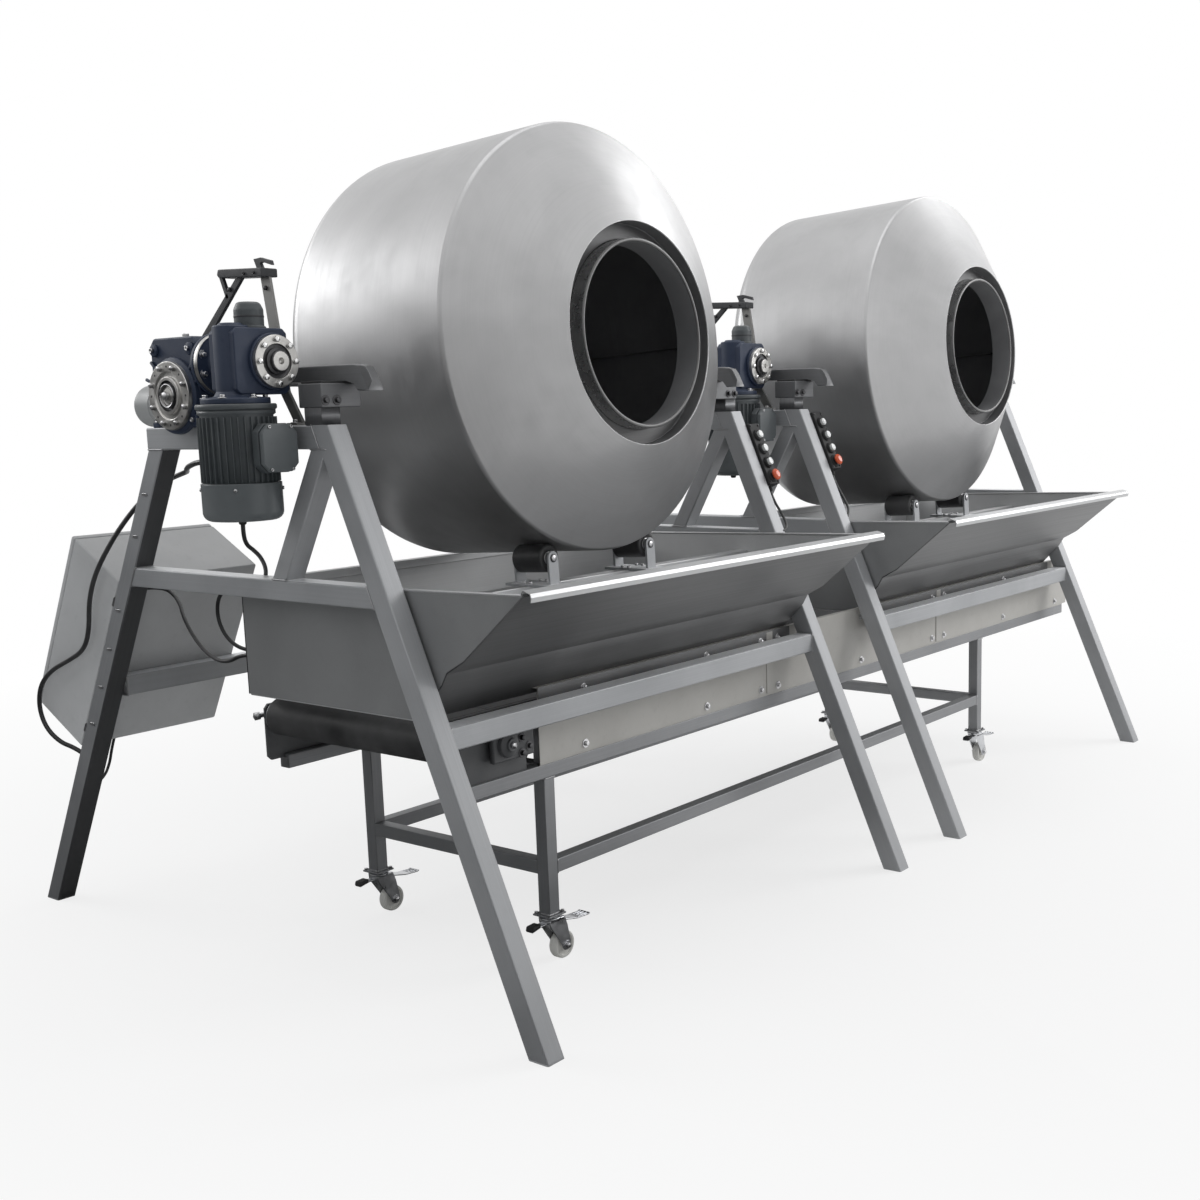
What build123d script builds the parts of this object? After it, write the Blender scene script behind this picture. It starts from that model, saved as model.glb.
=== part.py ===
from build123d import *
from math import atan2, cos, degrees, pi, radians, sin, sqrt, tan
import os

# Twin coating-pan line: two tilting drums on A-frame stands, each over a hopper,
# with one belt conveyor under both.
# X runs along the line, the drum mouths face -Y, and Z is up. All sizes are millimetres.

# Line
stand_width = 1710.0  # between the middle planes of a stand's two A-frames
station_gap = 430.0  # from one station's last A-frame to the next one's first
station_pitch = stand_width + station_gap
station_names = ("a", "b")

# A-frame stands of square tube
tube = 60.0
frame_height = 1505.0
front_foot_y = 0.0
front_top_y = 646.0
rear_top_y = 1415.0
rear_foot_y = 2203.0
cross_rail_z = frame_height - 450
cross_rail_height = 55.0
lower_bar_z = frame_height - 797
lower_bar_setback = 28.0  # behind the front legs' front faces
brace_top_y = 690.0
brace_foot_y = 880.0

# Pan
pan_radius = 600.0
pan_length = 625.0
pan_knuckle = 60.0
pan_wall = 4.0
cone_depth = 180.0
mouth_radius = 307.0
neck_radius = 250.0
neck_wall = 6.0
neck_length = 60.0
collar_recess = 14.0
collar_plate = 4.0
bead_radius = 7.0
flight_count = 6
flight_height = 55.0
rim_y = 535.0
rim_z = frame_height + 215
pan_tilt = 3.2

# Hub and pan drive, measured along the pan axis from the front rim
hub_radius = 140.0
hub_thickness = 20.0
shaft_radius = 35.0
housing_start = 700.0
housing_end = 850.0
housing_half_width = 130.0
housing_half_height = 105.0
pan_gear_radius = 88.0
pan_gear_length = 120.0
pan_motor_radius = 76.0
pan_motor_length = 230.0

# Tilt axis and cradle
tilt_y = 1142.0
tilt_z = frame_height + 82
journal_radius = 27.0
running_clearance = 0.05
arm_width = 50.0
arm_height = 40.0
arm_middle_z = tilt_z + 45
arm_front_y = 600.0
arm_rear_y = 1380.0
arm_inset = 70.0  # from the A-frame's middle plane to the arm's middle
beam_y = 1345.0

# Tilt drive, offsets from the A-frame's middle plane along X
gear_line = -56.0
gear_body = (140.0, 200.0, 231.0)
gear_cover_radius = 88.0
gear_cover_thickness = 14.0
worm_z = tilt_z + 76
first_body = (100.0, 125.0, 170.0)
first_y = 862.0
first_bottom_z = tilt_z - 12
first_cover_radius = 65.0
worm_offset = 79.0
motor_radius = 92.0
cowl_radius = 98.0
motor_length = 205.0
cowl_length = 90.0

# Hopper
sheet = 4.0
hopper_side_gap = 7.0  # to the A-frames on both sides
hopper_half = (stand_width - tube) / 2 - hopper_side_gap
lip_y = 80.0
lip_z = frame_height - 397
lip_flange = 28.0
bend_y = 366.0
bend_z = frame_height - 635
hopper_bottom_z = frame_height - 733
hopper_rear_y = 1137.0
rear_lip_z = frame_height - 423
hopper_pad_y = (600.0, 1080.0)
rest_beam_y = 600.0
rest_beam_z = frame_height - 505

# Rest rollers under the pan
roller_radius = 40.0
roller_length = 110.0
roller_pin = 9.0
roller_angle = 20.0
roller_gap = 1.5
roller_start = 40.0

# Conveyor
conveyor_width = 710.0  # between the middles of its two rails
panel_reach = 21.0  # from a rail's middle to its side panel's outer face
pad_depth = 27.0  # from the stands' lower bars to the front side panel
conveyor_leg = 42.0
conveyor_leg_x = (466.0, station_pitch + stand_width - 720)
conveyor_rail_z = frame_height - 970
conveyor_low_z = 258.0
rail_start_x = 150.0
panel_start_x = 432.0
conveyor_end_x = station_pitch + stand_width + 180
panel_bottom_z = conveyor_rail_z + 43
panel_top_z = conveyor_rail_z + 255
pulley_radius = 50.0
pulley_z = conveyor_rail_z + 159
tail_x = 128.0
drive_x = conveyor_end_x - 65
belt_thickness = 4.0
pulley_pin = 14.0
bridge_count = 6
bridge_end_room = 405.0  # from the last bridge to the drive roller

# Castors
wheel_radius = 40.0
wheel_width = 30.0
castor_trail = 45.0
castor_top_z = 140.0
axle_radius = 6.0

# Control boxes on the front legs
box_size = (62.0, 58.0, 222.0)
box_below_top = {"a": 50.0, "b": 16.0}  # from the leg's top down to the box, along the leg
button_pitch = 50.0
button_radius = 13.0
button_height = 12.0
button_travel = 4.0
stop_radius = 20.0

# Electrical cabinet on the rear leg's outer face
cabinet_size = (480.0, 260.0, 600.0)
cabinet_up_leg = 615.0
gland_places = (66.0, 112.0)
gland_depth = 40.0
gland_length = 18.0

cable_diameter = 14.0
lead_diameter = 11.0
thin_cable = 9.0
supply_height = frame_height - 85

# Placing
middle_x = (gear_line - worm_offset - cowl_radius + conveyor_end_x) / 2
middle_y = rear_foot_y / 2
front_lean = degrees(atan2(front_top_y - front_foot_y, frame_height))
front_leg_length = frame_height / cos(radians(front_lean))
box_slope_start = {tag: front_leg_length - box_below_top[tag] - box_size[2] for tag in station_names}
rear_lean = degrees(atan2(rear_foot_y - rear_top_y, frame_height - cross_rail_height))
front_run = tube / cos(radians(front_lean))
rear_run = tube / cos(radians(rear_lean))
lower_bar_y = front_foot_y + (front_top_y - front_foot_y) * lower_bar_z / frame_height + lower_bar_setback
conveyor_front_y = lower_bar_y + tube + pad_depth + panel_reach
conveyor_y = (conveyor_front_y, conveyor_front_y + conveyor_width)
hopper_front_y = conveyor_front_y + 20
axis_dir = Vector(0, cos(radians(pan_tilt)), -sin(radians(pan_tilt)))
up_dir = Vector(0, sin(radians(pan_tilt)), cos(radians(pan_tilt)))

os.makedirs("parts", exist_ok=True)


def at(x, y, z):
    """A point given along the line from the first A-frame and from the front feet."""
    return Vector(x - middle_x, y - middle_y, z)


def save(built, label):
    built.part.label = label
    export_step(built.part, f"parts/{label}.step")


def front_leg_y(z):
    return front_foot_y + (front_top_y - front_foot_y) * z / frame_height


def rear_leg_y(z):
    return rear_foot_y - (rear_foot_y - rear_top_y) * z / (frame_height - cross_rail_height)


def side_plane(x):
    """A plane seen from +X whose sketches use the line's Y and Z directly."""
    return Plane(origin=at(x, 0, 0), x_dir=(0, 1, 0), z_dir=(1, 0, 0))


def pan_profile_plane(centre_x):
    """The pan's half section: sketch X is the radius, sketch Y runs back from the rim."""
    return Plane(origin=at(centre_x, rim_y, rim_z), x_dir=up_dir, z_dir=(-1, 0, 0))


def pan_cross_plane(centre_x, along):
    """A plane square to the pan axis, its normal pointing to the rear."""
    origin = at(centre_x, rim_y, rim_z) + axis_dir * along
    return Plane(origin=origin, x_dir=(1, 0, 0), z_dir=axis_dir)


def block(x, y, z):
    """Adds a box by its two limits on each axis."""
    centre = at((x[0] + x[1]) / 2, (y[0] + y[1]) / 2, (z[0] + z[1]) / 2)
    with Locations(centre):
        Box(x[1] - x[0], y[1] - y[0], z[1] - z[0])


def rod(start, direction, radius, length, mode=Mode.ADD):
    """A cylinder from a point along a direction."""
    with BuildSketch(Plane(origin=start, z_dir=direction)) as disc:
        Circle(radius)
    extrude(disc.sketch, amount=length, mode=mode)


def make_stand(tag, left_x):
    right_x = left_x + stand_width
    inner = (left_x + tube / 2, right_x - tube / 2)
    top_low = frame_height - tube
    with BuildPart() as stand:
        for plane_x in (left_x, right_x):
            with BuildSketch(side_plane(plane_x)):
                Polygon(
                    (front_foot_y, 0),
                    (front_foot_y + front_run, 0),
                    (front_top_y + front_run, frame_height),
                    (front_top_y, frame_height),
                    align=None,
                )
                Polygon(
                    (rear_foot_y, 0),
                    (rear_foot_y - rear_run, 0),
                    (rear_leg_y(top_low) - rear_run, top_low),
                    (rear_leg_y(top_low), top_low),
                    align=None,
                )
                Polygon(
                    (front_leg_y(top_low), top_low),
                    (rear_leg_y(top_low), top_low),
                    (rear_leg_y(top_low), frame_height),
                    (front_top_y, frame_height),
                    align=None,
                )
                rail_top = cross_rail_z + cross_rail_height
                Polygon(
                    (front_leg_y(cross_rail_z) + front_run / 2, cross_rail_z),
                    (rear_leg_y(cross_rail_z) - rear_run / 2, cross_rail_z),
                    (rear_leg_y(rail_top) - rear_run / 2, rail_top),
                    (front_leg_y(rail_top) + front_run / 2, rail_top),
                    align=None,
                )
                Polygon(
                    (brace_foot_y - tube / 2, rail_top - 5),
                    (brace_foot_y + tube / 2, rail_top - 5),
                    (brace_top_y + tube / 2, top_low + 5),
                    (brace_top_y - tube / 2, top_low + 5),
                    align=None,
                )
            extrude(amount=tube / 2, both=True)
        # Lower bars along the line, between the front legs and between the rear legs
        block(inner, (lower_bar_y, lower_bar_y + tube), (lower_bar_z, lower_bar_z + tube))
        rear_bar_y = rear_leg_y(lower_bar_z) - tube
        block(inner, (rear_bar_y - 36, rear_bar_y + tube - 36), (lower_bar_z, lower_bar_z + tube))
        # Stops that the cradle's arms rest on
        for plane_x, toward in ((left_x, 1), (right_x, -1)):
            reach = sorted((plane_x - toward * tube / 2, plane_x + toward * (arm_inset + arm_width / 2)))
            stop_y = (front_top_y + 18, front_top_y + 106)
            block(reach, stop_y, (frame_height + 42, arm_middle_z - arm_height / 2))
            post = sorted((plane_x - toward * tube / 2, plane_x + toward * tube / 2))
            block(post, (front_top_y + 22, front_top_y + 88), (frame_height, frame_height + 42))
    save(stand, f"stand_frame_{tag}")


def cone_inner_radius(along):
    """Radius of the front cone's inner face at a distance along the axis."""
    slope = (pan_radius - mouth_radius) / cone_depth
    return mouth_radius + (along + cone_depth) * slope - pan_wall * sqrt(1 + slope**2)


def make_pan(tag, centre_x):
    slope = (pan_radius - mouth_radius) / cone_depth
    inner_rim = pan_radius - pan_wall
    inner_rim_along = (inner_rim - mouth_radius + pan_wall * sqrt(1 + slope**2)) / slope - cone_depth
    cone_end = -cone_depth + pan_wall * sqrt(1 + slope**2) / slope
    spin = Axis(at(centre_x, rim_y, rim_z), axis_dir)
    with BuildPart() as pan:
        with BuildSketch(pan_profile_plane(centre_x)):
            with BuildLine():
                Polyline(
                    (mouth_radius, -cone_depth),
                    (pan_radius, 0),
                    (pan_radius, pan_length - pan_knuckle),
                )
                RadiusArc(
                    (pan_radius, pan_length - pan_knuckle),
                    (pan_radius - pan_knuckle, pan_length),
                    -pan_knuckle,
                )
                Polyline(
                    (pan_radius - pan_knuckle, pan_length),
                    (0, pan_length),
                    (0, pan_length - pan_wall),
                    (pan_radius - pan_knuckle, pan_length - pan_wall),
                )
                RadiusArc(
                    (pan_radius - pan_knuckle, pan_length - pan_wall),
                    (inner_rim, pan_length - pan_knuckle),
                    pan_knuckle - pan_wall,
                )
                Polyline(
                    (inner_rim, pan_length - pan_knuckle),
                    (inner_rim, inner_rim_along),
                    (mouth_radius, cone_end),
                    (mouth_radius, -cone_depth),
                )
            make_face()
        revolve(axis=spin)
        # Hub flange and shaft welded to the back
        with BuildSketch(pan_cross_plane(centre_x, pan_length)):
            Circle(hub_radius)
        extrude(amount=hub_thickness)
        with BuildSketch(pan_cross_plane(centre_x, pan_length)):
            Circle(shaft_radius)
        extrude(amount=housing_end - 8 - pan_length)
        # Lifting flights inside the drum
        with BuildSketch(pan_cross_plane(centre_x, 40)):
            with PolarLocations(pan_radius - pan_wall - flight_height / 2 + 1, flight_count):
                Rectangle(flight_height, pan_wall)
        extrude(amount=pan_length - pan_knuckle - 60)
    save(pan, f"pan_shell_{tag}")
    with BuildPart() as collar:
        plate_front = -cone_depth + collar_recess
        plate_back = plate_front + collar_plate
        with BuildSketch(pan_profile_plane(centre_x)):
            Polygon(
                (neck_radius, plate_front),
                (cone_inner_radius(plate_front), plate_front),
                (cone_inner_radius(plate_back), plate_back),
                (neck_radius, plate_back),
                align=None,
            )
            Polygon(
                (neck_radius, plate_front - 6),
                (neck_radius + neck_wall, plate_front - 6),
                (neck_radius + neck_wall, plate_front + neck_length),
                (neck_radius, plate_front + neck_length),
                align=None,
            )
            with Locations((neck_radius + bead_radius, plate_front - 6)):
                RegularPolygon(bead_radius, 8)
        revolve(axis=spin)
    save(collar, f"mouth_collar_{tag}")


def make_cradle(tag, left_x):
    right_x = left_x + stand_width
    centre_x = left_x + stand_width / 2
    arm_low = arm_middle_z - arm_height / 2
    arm_high = arm_middle_z + arm_height / 2
    with BuildPart() as cradle:
        for plane_x, toward in ((left_x, 1), (right_x, -1)):
            near = plane_x + toward * (arm_inset - arm_width / 2)
            with BuildSketch(side_plane(plane_x + toward * arm_inset)):
                Polygon(
                    (arm_front_y + 60, arm_low),
                    (arm_rear_y, arm_low),
                    (arm_rear_y, arm_high),
                    (arm_front_y + 40, arm_high),
                    (arm_front_y, arm_high - 22),
                    (arm_front_y - 22, arm_low - 26),
                    (arm_front_y + 16, arm_low - 26),
                    (arm_front_y + 30, arm_low - 8),
                    align=None,
                )
                # Lug that carries the journal
                Polygon(
                    (tilt_y - 62, arm_low),
                    (tilt_y - 45, tilt_z - 42),
                    (tilt_y + 45, tilt_z - 42),
                    (tilt_y + 62, arm_low),
                    align=None,
                )
            extrude(amount=arm_width / 2, both=True)
            rod(at(near, tilt_y, tilt_z), (-toward, 0, 0), journal_radius, journal_reach(toward))
        # Cross beam behind the pan, with the bearing housing on the pan axis
        beam = (left_x + arm_inset - arm_width / 2, right_x - arm_inset + arm_width / 2)
        block(beam, (beam_y - 35, beam_y + 35), (arm_low, arm_high + 40))
        with BuildSketch(pan_cross_plane(centre_x, housing_start)):
            RectangleRounded(2 * housing_half_width, 2 * housing_half_height, 25)
        extrude(amount=housing_end - housing_start)
        with BuildSketch(pan_cross_plane(centre_x, housing_start - 10)):
            Circle(80)
        extrude(amount=12)
        with BuildSketch(pan_cross_plane(centre_x, housing_start - 12)):
            Circle(shaft_radius + running_clearance)
        extrude(amount=housing_end - housing_start + 20, mode=Mode.SUBTRACT)
    save(cradle, f"tilt_cradle_{tag}")


def journal_reach(toward):
    """How far a journal runs out of its arm, through the gearbox or through the bearing."""
    if toward > 0:
        return arm_inset - arm_width / 2 - gear_line + gear_body[0] / 2 + 10
    return arm_inset - arm_width / 2 + 38


def make_pan_drive(tag, centre_x):
    with BuildPart() as drive:
        with BuildSketch(pan_cross_plane(centre_x, housing_end)):
            Circle(pan_gear_radius + 10)
        extrude(amount=14)
        with BuildSketch(pan_cross_plane(centre_x, housing_end)):
            Circle(pan_gear_radius)
        extrude(amount=pan_gear_length)
        with BuildSketch(pan_cross_plane(centre_x, housing_end + pan_gear_length)):
            Circle(pan_motor_radius)
        extrude(amount=pan_motor_length)
        with BuildSketch(pan_cross_plane(centre_x, housing_end + pan_gear_length + pan_motor_length - 70)):
            Circle(pan_motor_radius + 6)
        extrude(amount=80)
        with BuildSketch(pan_cross_plane(centre_x, housing_end + pan_gear_length + 40)):
            with Locations((0, -pan_motor_radius - 10)):
                Rectangle(100, 60)
        extrude(amount=100)
    save(drive, f"pan_gearmotor_{tag}")


def make_tilt_gearbox(tag, left_x):
    gear_x = left_x + gear_line
    half = gear_body[0] / 2
    with BuildPart() as gearbox:
        with BuildSketch(side_plane(gear_x)):
            with Locations((tilt_y, frame_height + gear_body[2] / 2)):
                RectangleRounded(gear_body[1], gear_body[2], 12)
        extrude(amount=half - 14, both=True)
        with BuildSketch(side_plane(gear_x)):
            with Locations((tilt_y, tilt_z)):
                Circle(gear_cover_radius - 8)
        extrude(amount=half, both=True)
        with BuildSketch(side_plane(gear_x - half - gear_cover_thickness)):
            with Locations((tilt_y, tilt_z)):
                Circle(gear_cover_radius)
        extrude(amount=gear_cover_thickness)
        # Worm housing across the top, its input flange at the front and a bearing cap at the back
        rear = tilt_y + gear_body[1] / 2
        front = tilt_y - gear_body[1] / 2
        rod(at(gear_x, rear, worm_z), (0, -1, 0), 52, gear_body[1])
        rod(at(gear_x, front, worm_z), (0, -1, 0), 80, 16)
        rod(at(gear_x, rear, worm_z), (0, 1, 0), 45, 12)
        rod(at(gear_x, rear, frame_height + 58), (0, 1, 0), 56, 110)
        for side in (-1, 1):
            rod(at(gear_x, tilt_y, tilt_z), (side, 0, 0), 40, half + 22)
        bore_start = at(gear_x - half - 30, tilt_y, tilt_z)
        rod(bore_start, (1, 0, 0), journal_radius + running_clearance, 300, Mode.SUBTRACT)
        # Cover screws
        with BuildSketch(side_plane(gear_x - half - gear_cover_thickness)):
            with Locations((tilt_y, tilt_z)):
                with PolarLocations(gear_cover_radius - 14, 8, start_angle=22.5):
                    RegularPolygon(7, 6)
        extrude(amount=-5)
    save(gearbox, f"tilt_gearbox_{tag}")


def make_first_gearbox(tag, left_x):
    gear_x = left_x + gear_line
    worm_x = gear_x - worm_offset
    front = first_y - first_body[1] / 2
    rear = first_y + first_body[1] / 2
    flange_face = tilt_y - gear_body[1] / 2 - 16
    with BuildPart() as gearbox:
        block(
            (worm_x, gear_x + first_body[0] / 2),
            (front + 12, rear - 12),
            (first_bottom_z + 8, first_bottom_z + first_body[2]),
        )
        rod(at(worm_x, first_y, first_bottom_z), (0, 0, 1), 44, first_body[2] + 6)
        rod(at(gear_x, front, worm_z), (0, 1, 0), 62, first_body[1])
        rod(at(gear_x, front, worm_z), (0, -1, 0), first_cover_radius, 10)
        rod(at(gear_x, front - 10, worm_z), (0, -1, 0), 26, 14)
        # Quill that bolts to the tilt gearbox's input flange
        rod(at(gear_x, rear - 12, worm_z), (0, 1, 0), 46, flange_face - rear + 12)
        rod(at(gear_x, flange_face, worm_z), (0, -1, 0), 76, 14)
        # Motor flange below and the worm's end cap above
        rod(at(worm_x, first_y, first_bottom_z), (0, 0, -1), 84, 14)
        rod(at(worm_x, first_y, first_bottom_z + first_body[2]), (0, 0, 1), 40, 88)
        with BuildSketch(Plane(origin=at(gear_x, front - 10, worm_z), x_dir=(1, 0, 0), z_dir=(0, -1, 0))):
            with PolarLocations(first_cover_radius - 12, 8, start_angle=22.5):
                RegularPolygon(6, 6)
        extrude(amount=5)
    save(gearbox, f"first_gearbox_{tag}")


def make_tilt_motor(tag, left_x):
    motor_x = left_x + gear_line - worm_offset
    top = first_bottom_z - 14
    body_end = top - motor_length
    with BuildPart() as motor:
        rod(at(motor_x, first_y, top), (0, 0, -1), cowl_radius, 14)
        rod(at(motor_x, first_y, top), (0, 0, -1), motor_radius, motor_length)
        rod(at(motor_x, first_y, body_end + 8), (0, 0, -1), cowl_radius, cowl_length)
        fillet(motor.edges().filter_by(GeomType.CIRCLE).sort_by(Axis.Z)[0], 22)
        # Cast ribs down the body
        with BuildSketch(Plane(origin=at(motor_x, first_y, body_end + 8))):
            with PolarLocations(motor_radius + 1, 20):
                Rectangle(8, 3)
        extrude(amount=motor_length - 30)
        # Cable gland at the back and one under the cowl
        rod(at(motor_x, first_y + motor_radius - 6, supply_height), (0, 1, 0), 11, 26)
        rod(at(motor_x, first_y + 8, body_end + 10 - cowl_length), (0, 0, -1), 10, 14)
        # Terminal box
        block(
            (motor_x - 30, motor_x + 78),
            (first_y - motor_radius - 42, first_y - motor_radius + 25),
            (top - 169, top - 49),
        )
    save(motor, f"tilt_motor_{tag}")


def make_shaft_bearing(tag, left_x):
    plane_x = left_x + stand_width
    with BuildPart() as bearing:
        with BuildSketch(side_plane(plane_x)):
            with Locations((tilt_y, tilt_z)):
                Circle(58)
            with Locations((tilt_y, (frame_height + tilt_z) / 2)):
                Rectangle(116, tilt_z - frame_height)
            with Locations((tilt_y, frame_height + 11)):
                Rectangle(210, 22)
            with Locations((tilt_y, tilt_z)):
                Circle(journal_radius + running_clearance, mode=Mode.SUBTRACT)
        extrude(amount=26, both=True)
    save(bearing, f"shaft_bearing_{tag}")


def make_switch_bracket(tag, left_x):
    plane_x = left_x + 10
    strap = 8.0
    foot = frame_height
    gear_top = frame_height + gear_body[2]
    plate = frame_height + 375
    with BuildPart() as bracket:
        with BuildSketch(side_plane(plane_x)):
            # Front strap, top plate, rear strut, side strut and the hook
            Polygon((762, foot), (790, foot), (925, plate), (897, plate), align=None)
            Polygon(
                (880, plate),
                (1062, plate - 18),
                (1062, plate + 4),
                (880, plate + 22),
                align=None,
            )
            Polygon(
                (990, plate - 8),
                (1012, plate - 10),
                (1172, gear_top),
                (1140, gear_top),
                align=None,
            )
            Polygon(
                (1050, plate - 14),
                (1062, plate - 18),
                (1006, plate - 64),
                (994, plate - 56),
                align=None,
            )
            Polygon(
                (880, plate + 10),
                (880, plate + 42),
                (838, plate + 32),
                (838, plate + 20),
                (866, plate + 25),
                (868, plate + 10),
                align=None,
            )
        extrude(amount=strap)
        block((plane_x - 22, plane_x + 22), (762, 800), (foot, foot + 6))
        block((plane_x - 30, plane_x + 28), (880, 1050), (plate - 4, plate + 2))
    save(bracket, f"switch_bracket_{tag}")


def make_hopper(tag, left_x):
    centre_x = left_x + stand_width / 2
    ends = (centre_x - hopper_half, centre_x + hopper_half)
    side_room = (stand_width - tube) / 2 - hopper_half
    with BuildPart() as hopper:
        # Front wall with its outward lip, and the rear wall
        with BuildSketch(side_plane(centre_x)):
            with BuildLine():
                front = Polyline(
                    (lip_y - lip_flange, lip_z - 4),
                    (lip_y, lip_z),
                    (bend_y, bend_z),
                    (hopper_front_y, hopper_bottom_z),
                )
                offset(amount=sheet, side=Side.RIGHT)
            make_face()
        extrude(amount=hopper_half, both=True)
        with BuildSketch(side_plane(centre_x)):
            with BuildLine():
                Polyline(
                    (hopper_rear_y, hopper_bottom_z),
                    (hopper_rear_y, rear_lip_z),
                    (hopper_rear_y + lip_flange, rear_lip_z),
                )
                offset(amount=sheet, side=Side.LEFT)
            make_face()
        extrude(amount=hopper_half, both=True)
        for end_x, toward in ((ends[0], 1), (ends[1], -1)):
            with BuildSketch(side_plane(end_x)):
                Polygon(
                    (lip_y, lip_z),
                    (bend_y, bend_z),
                    (hopper_front_y, hopper_bottom_z),
                    (hopper_rear_y, hopper_bottom_z),
                    (hopper_rear_y, rear_lip_z),
                    align=None,
                )
            extrude(amount=toward * sheet)
            # Pads that carry the hopper on the A-frame's cross rail
            reach = sorted((end_x - toward * side_room, end_x + toward * sheet))
            for pad_y in hopper_pad_y:
                block(reach, (pad_y - 40, pad_y + 40), (cross_rail_z + 3, rear_lip_z - 2))
        # Cross beam that carries the rest rollers
        block(ends, (rest_beam_y - 20, rest_beam_y + 20), (rest_beam_z, rest_beam_z + 40))
        for side in (-1, 1):
            centre = roller_centre(centre_x, side)
            for along in (roller_start - 14, roller_start + roller_length + 4):
                plane = pan_cross_plane(centre.X + middle_x, along)
                local = plane.to_local_coords(centre)
                foot = plane.to_local_coords(at(centre_x, rest_beam_y, rest_beam_z + 38))
                with BuildSketch(plane):
                    with Locations((0, local.Y)):
                        Circle(20)
                    with Locations((0, (local.Y + foot.Y) / 2)):
                        Rectangle(40, local.Y - foot.Y)
                    with Locations((0, local.Y)):
                        Circle(roller_pin + running_clearance, mode=Mode.SUBTRACT)
                extrude(amount=8)
            block(
                (centre.X + middle_x - 45, centre.X + middle_x + 45),
                (rim_y - 25, rim_y + roller_start + roller_length - 10),
                (rest_beam_z + 36, rest_beam_z + 44),
            )
    save(hopper, f"hopper_{tag}")


def roller_centre(centre_x, side):
    """Where a rest roller's axis crosses the plane through the pan's rim."""
    reach = pan_radius + roller_radius + roller_gap
    sideways = side * reach * sin(radians(roller_angle))
    down = reach * cos(radians(roller_angle))
    return at(centre_x + sideways, rim_y, rim_z) - up_dir * down


def make_rollers(tag, centre_x):
    for side, name in ((-1, "left"), (1, "right")):
        centre = roller_centre(centre_x, side)
        with BuildPart() as roller:
            rod(centre + axis_dir * roller_start, axis_dir, roller_radius, roller_length)
            chamfer(roller.edges().filter_by(GeomType.CIRCLE), 5)
            rod(centre + axis_dir * (roller_start - 18), axis_dir, roller_pin, roller_length + 36)
        save(roller, f"rest_roller_{name}_{tag}")


def make_control_box(tag, leg_x):
    """The box lies along the leg's front face, its buttons facing forward and right."""
    lean = radians(front_lean)
    up_leg = Vector(0, sin(lean), cos(lean))
    outward = Vector(0, -cos(lean), sin(lean))
    foot = at(leg_x + tube / 2 + box_size[0] / 2, front_foot_y, 0) + up_leg * box_slope_start[tag]
    base = Plane(origin=foot + outward * -20, x_dir=(1, 0, 0), z_dir=up_leg)
    with BuildPart() as box:
        with BuildSketch(base):
            RectangleRounded(box_size[0], box_size[1], 5)
        extrude(amount=box_size[2])
        face_start = outward * (box_size[1] / 2 - 20)
        for step in range(4):
            spot = foot + up_leg * (28 + step * button_pitch) + face_start
            bore = 7 + running_clearance if step else 8 + running_clearance
            rod(spot - outward * 18, outward, bore, 30, Mode.SUBTRACT)
            if step:
                rod(spot, outward, button_radius + 4, 3)
                rod(spot, outward, bore, 10, Mode.SUBTRACT)
        # Cable gland under the box
        rod(foot + outward * -20, up_leg * -1, 10, gland_length)
    save(box, f"control_box_{tag}")
    for step in range(4):
        spot = foot + up_leg * (28 + step * button_pitch) + face_start
        with BuildPart() as button:
            if step:
                rod(spot - outward * 13, outward, 7, 22)
                rod(spot + outward * (3 + button_travel), outward, button_radius, button_height - 2)
            else:
                rod(spot - outward * 13, outward, 8, 28)
                rod(spot + outward * 12, outward, stop_radius, 14)
                chamfer(button.edges().filter_by(GeomType.CIRCLE).sort_by(SortBy.RADIUS)[-2:], 4)
        label = f"push_button_{step}_{tag}" if step else f"stop_button_{tag}"
        save(button, label)


for index, tag in enumerate(station_names):
    left_x = index * station_pitch
    centre_x = left_x + stand_width / 2
    make_stand(tag, left_x)
    make_pan(tag, centre_x)
    make_cradle(tag, left_x)
    make_pan_drive(tag, centre_x)
    make_tilt_gearbox(tag, left_x)
    make_first_gearbox(tag, left_x)
    make_tilt_motor(tag, left_x)
    make_shaft_bearing(tag, left_x)
    make_switch_bracket(tag, left_x)
    make_hopper(tag, left_x)
    make_rollers(tag, centre_x)


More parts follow.
